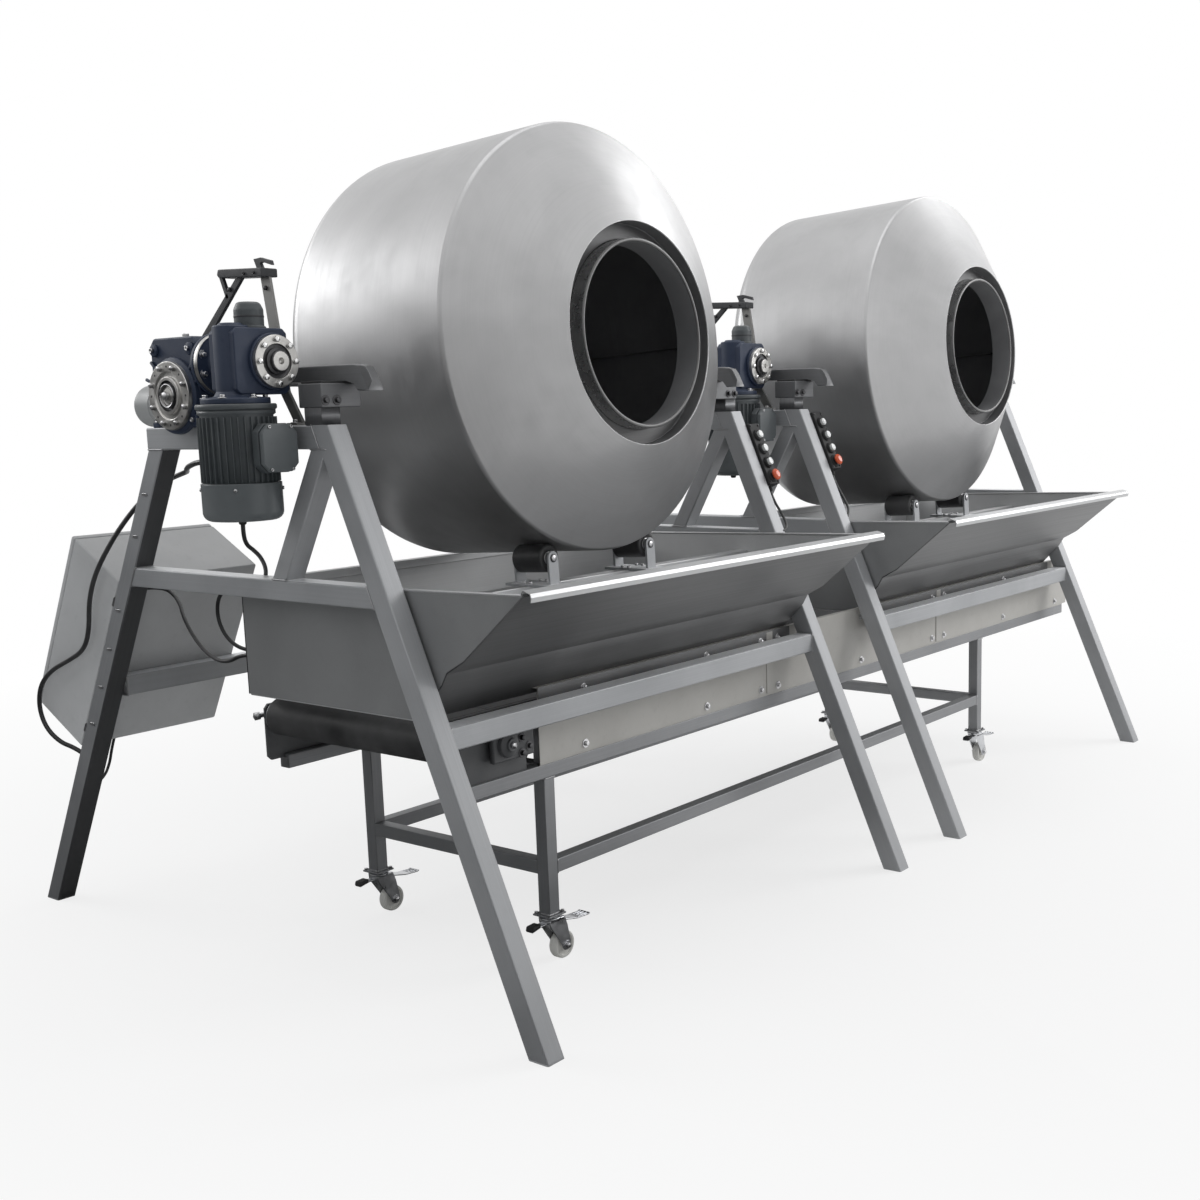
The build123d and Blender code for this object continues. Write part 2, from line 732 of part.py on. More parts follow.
def make_conveyor_frame():
    rail = 40.0
    half_leg = conveyor_leg / 2
    plate = 8.0
    with BuildPart() as frame:
        for side_y in conveyor_y:
            y = (side_y - rail / 2, side_y + rail / 2)
            block((rail_start_x, conveyor_end_x - 40), y, (conveyor_rail_z, conveyor_rail_z + rail))
            block(conveyor_leg_x, y, (conveyor_low_z, conveyor_low_z + rail))
            for leg_x in conveyor_leg_x:
                leg = (leg_x - half_leg, leg_x + half_leg)
                block(leg, (side_y - half_leg, side_y + half_leg), (castor_top_z, conveyor_rail_z + 10))
                rod(at(leg_x, side_y, castor_top_z), (0, 0, 1), 10 + running_clearance, 45, Mode.SUBTRACT)
            # Plates that hold the two pulleys' pins, inside the side panels
            inward = 1 if side_y == conveyor_y[0] else -1
            face = side_y - inward * 12
            span = sorted((face, face + inward * plate))
            for pulley_x, toward in ((tail_x, 1), (drive_x, -1)):
                x = sorted((pulley_x - toward * 30, pulley_x + toward * 260))
                block(x, span, (conveyor_rail_z + 30, pulley_z + 34))
                hole = at(pulley_x, face, pulley_z)
                rod(hole, (0, inward, 0), pulley_pin + running_clearance, plate, Mode.SUBTRACT)
        # Ties between the rails, and bridges that carry the belt's upper run
        ends_y = (conveyor_y[0], conveyor_y[1])
        for leg_x in conveyor_leg_x:
            block((leg_x - rail / 2, leg_x + rail / 2), ends_y, (conveyor_low_z, conveyor_low_z + rail))
        bridge_pitch = (drive_x - bridge_end_room - conveyor_leg_x[0]) / (bridge_count - 1)
        for step in range(bridge_count):
            bridge_x = conveyor_leg_x[0] + step * bridge_pitch
            x = (bridge_x - rail / 2, bridge_x + rail / 2)
            block(x, ends_y, (conveyor_rail_z, conveyor_rail_z + rail))
            block(x, ends_y, (pulley_z + 16, pulley_z + pulley_radius - 1))
            for side_y, inward in ((conveyor_y[0], 1), (conveyor_y[1], -1)):
                y = sorted((side_y - inward * 4, side_y + inward * 18))
                block(x, y, (conveyor_rail_z + rail, pulley_z + pulley_radius - 1))
    save(frame, "conveyor_frame")


def make_side_panels():
    thickness = 4.0
    for side_y, outward, name in ((conveyor_y[0], -1, "front"), (conveyor_y[1], 1, "rear")):
        face = side_y + outward * panel_reach
        y = sorted((face, face - outward * thickness))
        with BuildPart() as panel:
            block((panel_start_x, conveyor_end_x), y, (panel_bottom_z, panel_top_z))
            # Bottom flange that sits on the rail
            flange = sorted((face, face - outward * 8))
            block((panel_start_x, conveyor_end_x - 40), flange, (conveyor_rail_z + 40, panel_bottom_z + 3))
            # Take-up housing and screw at the tail end
            take_up = sorted((face + outward * 16, face - outward * 1))
            block((tail_x + 150, tail_x + 265), take_up, (pulley_z - 42, pulley_z + 42))
            block((tail_x + 230, panel_start_x + 40), take_up, (pulley_z - 12, pulley_z + 12))
            rod(at(tail_x - 50, face + outward * 7, pulley_z), (1, 0, 0), 7, 220)
            if outward < 0:
                # Pads behind the stands' lower bars, one at each end of a bar
                bar_rear = lower_bar_y + tube
                for left_x in (0, station_pitch):
                    for pad_x in (520, stand_width - 150):
                        x = (left_x + pad_x - 40, left_x + pad_x + 40)
                        block(x, (bar_rear, face + 1), (lower_bar_z + 10, lower_bar_z + 50))
        save(panel, f"side_panel_{name}")


def make_belt():
    margin = 30.0
    y = (conveyor_y[0] + margin, conveyor_y[1] - margin)
    middle = (tail_x + drive_x) / 2
    reach = drive_x - tail_x
    with BuildPart() as belt:
        with BuildSketch(Plane(origin=at(middle, y[0], pulley_z), x_dir=(1, 0, 0), z_dir=(0, -1, 0))):
            SlotCenterToCenter(reach, 2 * (pulley_radius + belt_thickness))
            SlotCenterToCenter(reach, 2 * pulley_radius, mode=Mode.SUBTRACT)
        extrude(amount=y[0] - y[1])
    save(belt, "conveyor_belt")
    for pulley_x, name in ((tail_x, "tail"), (drive_x, "drive")):
        with BuildPart() as roller:
            rod(at(pulley_x, y[0] - 8, pulley_z), (0, 1, 0), pulley_radius - 0.3, y[1] - y[0] + 16)
            pin_length = conveyor_y[1] - conveyor_y[0] + 32
            rod(at(pulley_x, conveyor_y[0] - 16, pulley_z), (0, 1, 0), pulley_pin, pin_length)
        save(roller, f"{name}_roller")


def make_castor(index, leg_x, side_y):
    cheek = 4.0
    gap = wheel_width / 2 + 2
    axle = at(leg_x + castor_trail, side_y, wheel_radius)
    with BuildPart() as fork:
        rod(at(leg_x, side_y, castor_top_z - 0.3), (0, 0, -1), 26, 12)
        rod(at(leg_x, side_y, castor_top_z - 6), (0, 0, 1), 10, 44)
        bridge_y = (side_y - gap - cheek, side_y + gap + cheek)
        block((leg_x - 24, leg_x + 40), bridge_y, (castor_top_z - 22, castor_top_z - 12))
        for side in (-1, 1):
            cheek_middle = at(leg_x, side_y + side * (gap + cheek / 2), 0)
            with BuildSketch(Plane(origin=cheek_middle, x_dir=(1, 0, 0), z_dir=(0, -1, 0))):
                Polygon(
                    (-24, castor_top_z - 12),
                    (40, castor_top_z - 12),
                    (castor_trail + 16, wheel_radius + 6),
                    (castor_trail + 10, wheel_radius - 14),
                    (castor_trail - 10, wheel_radius - 14),
                    (castor_trail - 20, wheel_radius + 6),
                    (-20, castor_top_z - 30),
                    align=None,
                )
            extrude(amount=cheek / 2, both=True)
        rod(axle + Vector(0, -gap - cheek - 5, 0), (0, 1, 0), axle_radius, 2 * (gap + cheek + 5))
        # Brake pedal over the wheel and the release lever opposite
        with BuildSketch(Plane(origin=at(leg_x, side_y, 0), x_dir=(1, 0, 0), z_dir=(0, -1, 0))):
            Polygon(
                (26, 128),
                (40, 108),
                (92, 98),
                (146, 96),
                (146, 102),
                (96, 106),
                (52, 120),
                (40, 128),
                align=None,
            )
            Polygon((-24, 128), (-84, 120), (-84, 112), (-24, 116), align=None)
        extrude(amount=gap + cheek, both=True)
    save(fork, f"castor_fork_{index}")
    with BuildPart() as wheel:
        side = axle - Vector(0, wheel_width / 2, 0)
        rod(side, (0, 1, 0), wheel_radius, wheel_width)
        chamfer(wheel.edges().filter_by(GeomType.CIRCLE), 4)
        rod(side, (0, 1, 0), axle_radius + running_clearance, wheel_width, Mode.SUBTRACT)
    save(wheel, f"castor_wheel_{index}")


def make_cabinet():
    lean = radians(rear_lean)
    outward = Vector(0, cos(lean), sin(lean))
    up_leg = Vector(0, -sin(lean), cos(lean))
    with BuildPart() as cabinet:
        with BuildSketch(Plane(origin=at(0, rear_foot_y, 0), x_dir=(-1, 0, 0), z_dir=outward)):
            with Locations((tube / 2 - cabinet_size[0] / 2, cabinet_up_leg + cabinet_size[2] / 2)):
                RectangleRounded(cabinet_size[0], cabinet_size[2], 6)
        extrude(amount=cabinet_size[1])
        # Cable glands in the underside
        for gland_x in gland_places:
            foot = at(gland_x, rear_foot_y, 0) + up_leg * cabinet_up_leg + outward * gland_depth
            rod(foot + up_leg * 2, up_leg * -1, 13, gland_length + 2)
    save(cabinet, "cabinet")


def make_cord(label, points, diameter):
    """A cable along chosen points, each corner rounded as far as its shorter run allows."""
    route = [at(*point) for point in points]
    radii = []
    for before, corner, after in zip(route, route[1:], route[2:]):
        turn = radians((corner - before).get_angle(after - corner))
        shorter = min((corner - before).length, (after - corner).length)
        radii.append(0.45 * shorter / tan(turn / 2))
    with BuildPart() as cord:
        with BuildLine() as path:
            FilletPolyline(*route, radius=radii)
        with BuildSketch(Plane(origin=route[0], z_dir=route[1] - route[0])):
            Circle(diameter / 2)
        sweep()
    length = sum(edge.length for edge in path.edges())
    expected = pi * diameter**2 / 4 * length
    print(label, "length", round(length), "radii", [round(radius) for radius in radii])
    print(label, "volume over section times length", round(cord.part.volume / expected, 4))
    save(cord, label)


def offsets_from(start, steps):
    """Route points given as steps from the first one."""
    return [(start[0] + step[0], start[1] + step[1], start[2] + step[2]) for step in steps]


def panel_gland(tag, leg_x):
    """The lower end of a control box's gland, where its cable starts."""
    lean = radians(front_lean)
    along = box_slope_start[tag] - gland_length
    y = front_foot_y + along * sin(lean) + 20 * cos(lean)
    z = along * cos(lean) - 20 * sin(lean)
    return (leg_x + tube / 2 + box_size[0] / 2, y, z)


def cabinet_gland(gland_x):
    """The lower end of a gland under the cabinet."""
    lean = radians(rear_lean)
    along = cabinet_up_leg - gland_length
    y = rear_foot_y - along * sin(lean) + gland_depth * cos(lean)
    return (gland_x, y, along * cos(lean) + gland_depth * sin(lean))


make_control_box("a", stand_width)
make_control_box("b", station_pitch)
make_conveyor_frame()
make_side_panels()
make_belt()
castor_places = [(leg_x, side_y) for leg_x in conveyor_leg_x for side_y in conveyor_y]
for index, (leg_x, side_y) in enumerate(castor_places, start=1):
    make_castor(index, leg_x, side_y)
make_cabinet()

# Cable routes, as points along the line, the last of each on the face that it goes into
supply_route = [
    (-135, 974, supply_height),
    (-132, 1040, supply_height - 2),
    (-108, 1120, supply_height - 15),
    (-55, 1210, supply_height - 28),
    (10, 1300, supply_height - 36),
    (56, 1395, supply_height - 45),
    (60, 1490, supply_height - 68),
    (24, 1562, supply_height - 124),
    (-22, 1604, supply_height - 198),
    (-52, 1645, supply_height - 272),
    (-56, 1706, 1076),
    (-52, 1752, 1000),
    (-50, 1768, 915),
    (-50, 1806, 852),
    (-52, 1896, 812),
    (-50, 1996, 776),
    (-50, 2074, 722),
    (-50, 2098, 650),
    (-48, 2072, 584),
    (-34, 2020, 540),
    (-8, 1984, 522),
    (0, rear_leg_y(500), 500),
]
droop_route = [
    (30, 1612, cross_rail_z - 17),
    (102, 1606, cross_rail_z - 15),
    (104, 1534, cross_rail_z - 51),
    (74, 1470, cross_rail_z - 105),
    (62, 1392, cross_rail_z - 169),
    (60, 1318, cross_rail_z - 207),
    (62, 1254, cross_rail_z - 209),
    (66, 1198, cross_rail_z - 183),
    (66, hopper_rear_y, cross_rail_z - 179),
]
motor_route = [
    (-135, 870, cross_rail_z + 207),
    (-133, 876, cross_rail_z + 161),
    (-104, 902, cross_rail_z + 123),
    (-52, 940, cross_rail_z + 103),
    (8, 984, cross_rail_z + 91),
    (52, 1040, cross_rail_z + 67),
    (72, 1110, cross_rail_z + 27),
    (76, 1180, cross_rail_z + 11),
    (75, 1246, cross_rail_z + 7),
    (72, 1294, cross_rail_z - 25),
    (70, 1304, cross_rail_z - 79),
    (70, 1280, cross_rail_z - 129),
    (76, 1238, cross_rail_z - 163),
    (88, 1188, cross_rail_z - 175),
    (96, hopper_rear_y, cross_rail_z - 171),
]
panel_steps = [(0, 0, 0), (0, -17, -40), (5, -26, -83), (3, -35, -125), (-31, -44, -149)]
first_steps = [(0, 0, 0), (0, 21, -39), (-6, 31, -80), (-36, 1, -98)]
second_steps = [(0, 0, 0), (0, 25, -46), (-4, 39, -98), (-28, 37, -138), (-82, 9, -152)]
make_cord("supply_cable", supply_route, cable_diameter)
make_cord("droop_cable", droop_route, lead_diameter)
make_cord("motor_cable", motor_route, lead_diameter)
for tag, leg_x in (("a", stand_width), ("b", station_pitch)):
    make_cord(f"panel_cable_{tag}", offsets_from(panel_gland(tag, leg_x), panel_steps), thin_cable)
for index, steps in enumerate((first_steps, second_steps)):
    route = offsets_from(cabinet_gland(gland_places[index]), steps)
    make_cord(f"cabinet_cable_{index + 1}", route, thin_cable)
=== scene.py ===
import random
from math import atan2, cos, pi, radians, sin, sqrt, tan

import bmesh
import bpy
from mathutils import Matrix, Vector


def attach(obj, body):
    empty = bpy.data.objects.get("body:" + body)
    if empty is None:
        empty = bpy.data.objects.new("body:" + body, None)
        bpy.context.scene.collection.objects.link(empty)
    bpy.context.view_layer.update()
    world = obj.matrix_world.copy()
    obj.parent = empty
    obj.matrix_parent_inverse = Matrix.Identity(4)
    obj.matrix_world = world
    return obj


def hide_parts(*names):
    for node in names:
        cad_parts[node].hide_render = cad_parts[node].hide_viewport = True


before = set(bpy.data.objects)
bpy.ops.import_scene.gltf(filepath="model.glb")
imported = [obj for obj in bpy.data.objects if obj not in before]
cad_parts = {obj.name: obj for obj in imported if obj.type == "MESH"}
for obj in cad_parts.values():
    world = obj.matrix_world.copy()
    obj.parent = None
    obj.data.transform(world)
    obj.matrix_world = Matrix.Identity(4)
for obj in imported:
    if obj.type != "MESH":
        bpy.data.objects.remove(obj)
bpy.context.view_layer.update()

# Driving sizes, in metres, as in the CAD source; the line's own zero is the first A-frame's front foot
STAND_WIDTH = 1.710
STATION_PITCH = 2.140
TUBE = 0.060
TUBE_CORNER = 0.005
FRAME_HEIGHT = 1.505
FRONT_TOP_Y = 0.646
REAR_TOP_Y = 1.415
REAR_FOOT_Y = 2.203
CROSS_RAIL_Z = 1.055
CROSS_RAIL_HEIGHT = 0.055
LOWER_BAR_Z = 0.708
LOWER_BAR_SETBACK = 0.028
LOWER_BAR_Y = FRONT_TOP_Y * LOWER_BAR_Z / FRAME_HEIGHT + LOWER_BAR_SETBACK
REAR_BAR_SETBACK = 0.036
BRACE_TOP_Y = 0.690
BRACE_FOOT_Y = 0.880

PAN_RADIUS = 0.600
PAN_LENGTH = 0.625
PAN_KNUCKLE = 0.060
PAN_WALL = 0.004
CONE_DEPTH = 0.180
MOUTH_RADIUS = 0.307
NECK_RADIUS = 0.250
NECK_WALL = 0.006
NECK_LENGTH = 0.060
COLLAR_RECESS = 0.014
GROOVE_DEPTH = 0.045
FLIGHT_COUNT = 6
FLIGHT_HEIGHT = 0.055
RIM_Y = 0.535
RIM_Z = 1.720
PAN_TILT = radians(3.2)
HUB_RADIUS = 0.140
SHAFT_RADIUS = 0.035
HOUSING_START = 0.700
HOUSING_END = 0.850
HOUSING_HALF_WIDTH = 0.130
HOUSING_HALF_HEIGHT = 0.105
PAN_GEAR_RADIUS = 0.088
PAN_GEAR_LENGTH = 0.120
PAN_MOTOR_RADIUS = 0.076
PAN_MOTOR_LENGTH = 0.230

TILT_Y = 1.142
TILT_Z = 1.587
JOURNAL_RADIUS = 0.027
ARM_WIDTH = 0.050
ARM_HEIGHT = 0.040
ARM_MIDDLE_Z = 1.632
ARM_FRONT_Y = 0.600
ARM_REAR_Y = 1.380
ARM_INSET = 0.070
BEAM_Y = 1.345

GEAR_LINE = -0.056
GEAR_BODY = (0.140, 0.200, 0.231)
GEAR_COVER_RADIUS = 0.088
WORM_Z = 1.663
FIRST_BODY = (0.100, 0.125, 0.170)
FIRST_Y = 0.862
FIRST_BOTTOM_Z = 1.575
FIRST_COVER_RADIUS = 0.065
WORM_OFFSET = 0.079
MOTOR_RADIUS = 0.092
COWL_RADIUS = 0.098
MOTOR_LENGTH = 0.205
COWL_LENGTH = 0.090
JOURNAL_LEFT = ARM_INSET - ARM_WIDTH / 2 - GEAR_LINE + GEAR_BODY[0] / 2 + 0.010
JOURNAL_RIGHT = ARM_INSET - ARM_WIDTH / 2 + 0.038

SHEET = 0.004
PAINTED_LIGHT_SKIN = 0.0006
HOPPER_HALF = 0.818
LIP_Y = 0.080
LIP_Z = 1.108
LIP_FLANGE = 0.028
BEND_Y = 0.366
BEND_Z = 0.870
HOPPER_BOTTOM_Z = 0.772
HOPPER_REAR_Y = 1.137
REAR_LIP_Z = 1.082
HOPPER_PAD_Y = (0.600, 1.080)
REST_BEAM_Y = 0.600
REST_BEAM_Z = 1.000
ROLLER_RADIUS = 0.040
ROLLER_LENGTH = 0.110
ROLLER_PIN = 0.009
ROLLER_ANGLE = radians(20)
ROLLER_GAP = 0.0015
ROLLER_START = 0.040
ROLLER_END = ROLLER_START + ROLLER_LENGTH

PANEL_REACH = 0.021
PAD_DEPTH = 0.027
CONVEYOR_WIDTH = 0.710
CONVEYOR_FRONT_Y = round(LOWER_BAR_Y + TUBE + PAD_DEPTH + PANEL_REACH, 6)
CONVEYOR_Y = (CONVEYOR_FRONT_Y, CONVEYOR_FRONT_Y + CONVEYOR_WIDTH)
HOPPER_FRONT_Y = CONVEYOR_FRONT_Y + 0.020
CONVEYOR_LEG = 0.042
CONVEYOR_LEG_X = (0.466, 3.130)
CONVEYOR_RAIL_Z = 0.535
CONVEYOR_LOW_Z = 0.258
RAIL_START_X = 0.150
PANEL_START_X = 0.432
CONVEYOR_END_X = 4.030
PANEL_BOTTOM_Z = 0.578
PANEL_TOP_Z = 0.790
PANEL_JOINTS = (1.550, 2.750)
PANEL_BOLTS = (0.620, 1.200, 1.500, 1.600, 2.150, 2.700, 2.800, 3.350, 3.900)
PULLEY_RADIUS = 0.050
PULLEY_Z = 0.694
TAIL_X = 0.128
DRIVE_X = 3.965
BELT_THICKNESS = 0.004
PULLEY_PIN = 0.014
BRIDGE_COUNT = 6
BRIDGE_END_ROOM = 0.405

WHEEL_RADIUS = 0.040
WHEEL_WIDTH = 0.030
FORK_CHEEK = 0.004
CASTOR_TRAIL = 0.045
CASTOR_TOP_Z = 0.140
AXLE_RADIUS = 0.006

BOX_SIZE = (0.062, 0.058, 0.222)
BOX_START = {"a": 1.3658, "b": 1.3998}
BUTTON_PITCH = 0.050
BUTTON_RADIUS = 0.013
BUTTON_HEIGHT = 0.012
BUTTON_TRAVEL = 0.004
STOP_RADIUS = 0.020
CABINET_SIZE = (0.480, 0.260, 0.600)
CABINET_UP_LEG = 0.615
GLAND_PLACES = (0.066, 0.112)
GLAND_DEPTH = 0.040
GLAND_LENGTH = 0.018
SUPPLY_HEIGHT = 1.420
CLIP_HEIGHTS = (0.62, 0.74, 0.86, 0.98, 1.20, 1.32)

# The line's middle, where the row frame has its zero
MIDDLE_X = (GEAR_LINE - WORM_OFFSET - COWL_RADIUS + CONVEYOR_END_X) / 2
MIDDLE_Y = REAR_FOOT_Y / 2

FRONT_LEAN = atan2(FRONT_TOP_Y, FRAME_HEIGHT)
REAR_LEAN = atan2(REAR_FOOT_Y - REAR_TOP_Y, FRAME_HEIGHT - CROSS_RAIL_HEIGHT)
FRONT_LEG_WAY = Vector((0, sin(FRONT_LEAN), cos(FRONT_LEAN)))
REAR_LEG_WAY = Vector((0, -sin(REAR_LEAN), cos(REAR_LEAN)))
AXIS_DIR = Vector((0, cos(PAN_TILT), -sin(PAN_TILT)))
UP_DIR = Vector((0, sin(PAN_TILT), cos(PAN_TILT)))
ALONG_X, ALONG_Y, ALONG_Z = Vector((1, 0, 0)), Vector((0, 1, 0)), Vector((0, 0, 1))
STATIONS = (("a", 0), ("b", STATION_PITCH))


def at(x, y, z):
    """A point given along the line, in the row frame."""
    return Vector((x - MIDDLE_X, y - MIDDLE_Y, z))


def around(middle, half):
    return (middle - half, middle + half)


def grid(x, y):
    """The four corners of a rectangle round a middle."""
    return [(dx, dy) for dx in (-x, x) for dy in (-y, y)]


def spokes(u, v, count, shift=0.0):
    """Unit vectors all round the plane of u and v, turned by a share of their pitch."""
    angles = [2 * pi * (k + shift) / count for k in range(count)]
    return [u * cos(angle) + v * sin(angle) for angle in angles]


def add_object(name, data):
    made = bpy.data.objects.new(name, data)
    bpy.context.scene.collection.objects.link(made)
    return made


def add_mesh(name, made, materials):
    """A new object from a bmesh, which is freed."""
    mesh = bpy.data.meshes.new(name)
    made.to_mesh(mesh)
    made.free()
    for material in materials:
        mesh.materials.append(material)
    return add_object(name, mesh)


# Camera: fitted to the photograph's feet, bars and drum rims
CAMERA_PLACE = Vector((-4.2715, -3.3215, 1.535))
CAMERA_YAW = radians(52.93)
CAMERA_PITCH = radians(-9.5)
CAMERA_ROLL = radians(-1.41)
CAMERA_LENS = 43.5
CAMERA_SHIFT = (-0.0753, 0.0385)
SENSOR_WIDTH = 36
FAR_CLIP = 200


def make_camera():
    data = bpy.data.cameras.new("camera")
    data.sensor_width = SENSOR_WIDTH
    data.lens = CAMERA_LENS
    data.shift_x, data.shift_y = CAMERA_SHIFT
    data.clip_end = FAR_CLIP
    camera = add_object("camera", data)
    ahead = Vector((sin(CAMERA_YAW), cos(CAMERA_YAW), 0))
    look = ahead * cos(CAMERA_PITCH) + ALONG_Z * sin(CAMERA_PITCH)
    level_right = Vector((cos(CAMERA_YAW), -sin(CAMERA_YAW), 0))
    level_up = level_right.cross(look)
    right = level_right * cos(CAMERA_ROLL) + level_up * sin(CAMERA_ROLL)
    up = level_up * cos(CAMERA_ROLL) - level_right * sin(CAMERA_ROLL)
    turn = Matrix((right, up, -look)).transposed().to_4x4()
    camera.matrix_world = Matrix.Translation(CAMERA_PLACE) @ turn
    bpy.context.scene.camera = camera


make_camera()


# Materials
DUST_COLOR = (0.62, 0.60, 0.57)
PAINTED_HIGHLIGHT_COLOR = (0.92, 0.93, 0.94)
FINE_LINES = 420.0


class Surface:
    """A Principled material and the nodes that feed it."""

    def __init__(self, name, color, metallic=0.0, roughness=0.5, **values):
        self.material = bpy.data.materials.new(name)
        self.material.use_nodes = True
        self.tree = self.material.node_tree
        self.tree.nodes.clear()
        self.out = self.tree.nodes.new("ShaderNodeOutputMaterial")
        self.shader = self.tree.nodes.new("ShaderNodeBsdfPrincipled")
        self.tree.links.new(self.shader.outputs["BSDF"], self.out.inputs["Surface"])
        self.set("Base Color", (*color, 1.0))
        self.set("Metallic", metallic)
        self.set("Roughness", roughness)
        for key, value in values.items():
            self.set(key.replace("_", " "), value)
        self.height = None

    def feed(self, socket, value):
        """Links an output to a node's input, or sets the input's own value."""
        if isinstance(value, bpy.types.NodeSocket):
            self.tree.links.new(value, socket)
        else:
            socket.default_value = value

    def set(self, key, value):
        self.feed(self.shader.inputs[key], value)

    def node(self, kind, inputs=None, **settings):
        made = self.tree.nodes.new("ShaderNode" + kind)
        for key, value in settings.items():
            setattr(made, key, value)
        for key, value in (inputs or {}).items():
            self.feed(made.inputs[key], value)
        return made

    def place(self):
        """Coordinates that ride with the piece."""
        return self.node("TexCoord").outputs["Object"]

    def part(self, vector, axis):
        return self.node("SeparateXYZ", {"Vector": vector}).outputs[axis]

    def facing(self):
        """How far up a face looks, from -1 to 1."""
        return self.part(self.node("NewGeometry").outputs["Normal"], "Z")

    def vector(self, operation, a, b, output="Vector"):
        return self.node("VectorMath", {0: a, 1: b}, operation=operation).outputs[output]

    def scaled(self, vector, scale):
        return self.node("VectorMath", {0: vector, "Scale": scale}, operation="SCALE").outputs["Vector"]

    def noise(self, vector, scale, detail=3.0, rough=0.5, distort=0.0):
        values = {
            "Vector": vector, "Scale": scale, "Detail": detail, "Roughness": rough, "Distortion": distort
        }
        return self.node("TexNoise", values).outputs["Fac"]

    def spread(self, value, low, high, from_low=0.3, from_high=0.7):
        """Maps a noise value onto a range, held at both ends."""
        inputs = {"Value": value, "From Min": from_low, "From Max": from_high, "To Min": low, "To Max": high}
        return self.node("MapRange", inputs).outputs["Result"]

    def math(self, operation, a, b=0.0):
        return self.node("Math", {0: a, 1: b}, operation=operation).outputs["Value"]

    def blend(self, fac, a, b):
        """Colour blend; a and b are colours or sockets."""
        made = self.node("Mix", data_type="RGBA")
        for index, value in ((0, fac), (6, a), (7, b)):
            self.feed(made.inputs[index], (*value, 1.0) if isinstance(value, tuple) else value)
        return made.outputs[2]

    def bump(self, height, strength, distance):
        values = {"Height": height, "Strength": strength, "Distance": distance}
        if self.height is not None:
            values["Normal"] = self.height
        self.height = self.node("Bump", values).outputs["Normal"]
        self.set("Normal", self.height)


def darker(color, share):
    return tuple(x * (1 - share) for x in color)


def lighter(color, share):
    return tuple(x * (1 - share) + share for x in color)


def painted(name, color, roughness=0.38, grain=900.0, grain_strength=0.12, wear=0.10, dust=0.18):
    """Paint with fine orange peel, faint clouds of tone and a film of dust on faces that look up."""
    s = Surface(name, color, roughness=roughness)
    clouds = s.noise(s.place(), 3.2, 4.0, 0.6)
    spots = s.noise(s.place(), 46.0, 3.0, 0.6)
    base = s.blend(s.spread(clouds, 0.0, 1.0), darker(color, wear), lighter(color, wear * 0.5))
    base = s.blend(s.spread(spots, 0.0, 0.35, 0.58, 0.75), base, darker(color, wear * 2))
    film = s.math("MULTIPLY", s.spread(s.facing(), 0.0, dust, 0.5, 1.0), s.spread(clouds, 0.4, 1.0))
    s.set("Base Color", s.blend(film, base, DUST_COLOR))
    s.set("Roughness", s.spread(s.noise(s.place(), 18.0, 4.0), roughness - 0.07, roughness + 0.10))
    s.bump(s.noise(s.place(), grain, 2.0), grain_strength, 0.0004)
    return s.material


def brushed(name, color, roughness, strength=0.22, clouds=0.10, metallic=0.55, top=0.0, painted_shade_below=0.0, foot=0.0):
    """Satin steel grained along each form. Faces that look up can be lightened as a painted highlight, faces
    that look down darkened as painted shade, and the tone can darken towards the floor.
    """
    s = Surface(name, color, metallic=metallic, roughness=roughness)
    grain = s.node("Attribute", attribute_name="grain").outputs["Vector"]
    lines = s.noise(s.vector("MULTIPLY", grain, (FINE_LINES, FINE_LINES, 1.0)), 1.0, 4.0, 0.65)
    wide = s.noise(s.place(), 2.4, 5.0, 0.55, 0.4)
    fine = s.noise(s.place(), 34.0, 4.0, 0.6)
    tone = s.blend(s.spread(wide, 0.0, 1.0), darker(color, clouds * 1.6), lighter(color, clouds * 0.6))
    tone = s.blend(s.spread(lines, 0.0, 0.20), tone, darker(color, 0.35))
    tone = s.blend(s.spread(fine, 0.0, 0.16, 0.55, 0.8), tone, darker(color, 0.30))
    # Faces that look up blend towards near white: a painted highlight.
    if top:
        tone = s.blend(s.spread(s.facing(), 0.0, top, 0.80, 0.97), tone, PAINTED_HIGHLIGHT_COLOR)
    # Faces that look down darken: painted shade.
    if painted_shade_below:
        tone = s.blend(s.spread(s.facing(), painted_shade_below, 0.0, -0.22, -0.08), tone, darker(color, 0.95))
    # Darker towards the floor, by height above it.
    if foot:
        height = s.part(s.place(), "Z")
        tone = s.blend(s.spread(height, foot, 0.0, 0.10, 1.0), tone, darker(color, 0.90))
    s.set("Base Color", tone)
    rough = s.math("ADD", s.spread(lines, -0.05, 0.07), s.spread(wide, roughness - 0.05, roughness + 0.06))
    s.set("Roughness", rough)
    s.bump(lines, strength, 0.0003)
    return s.material


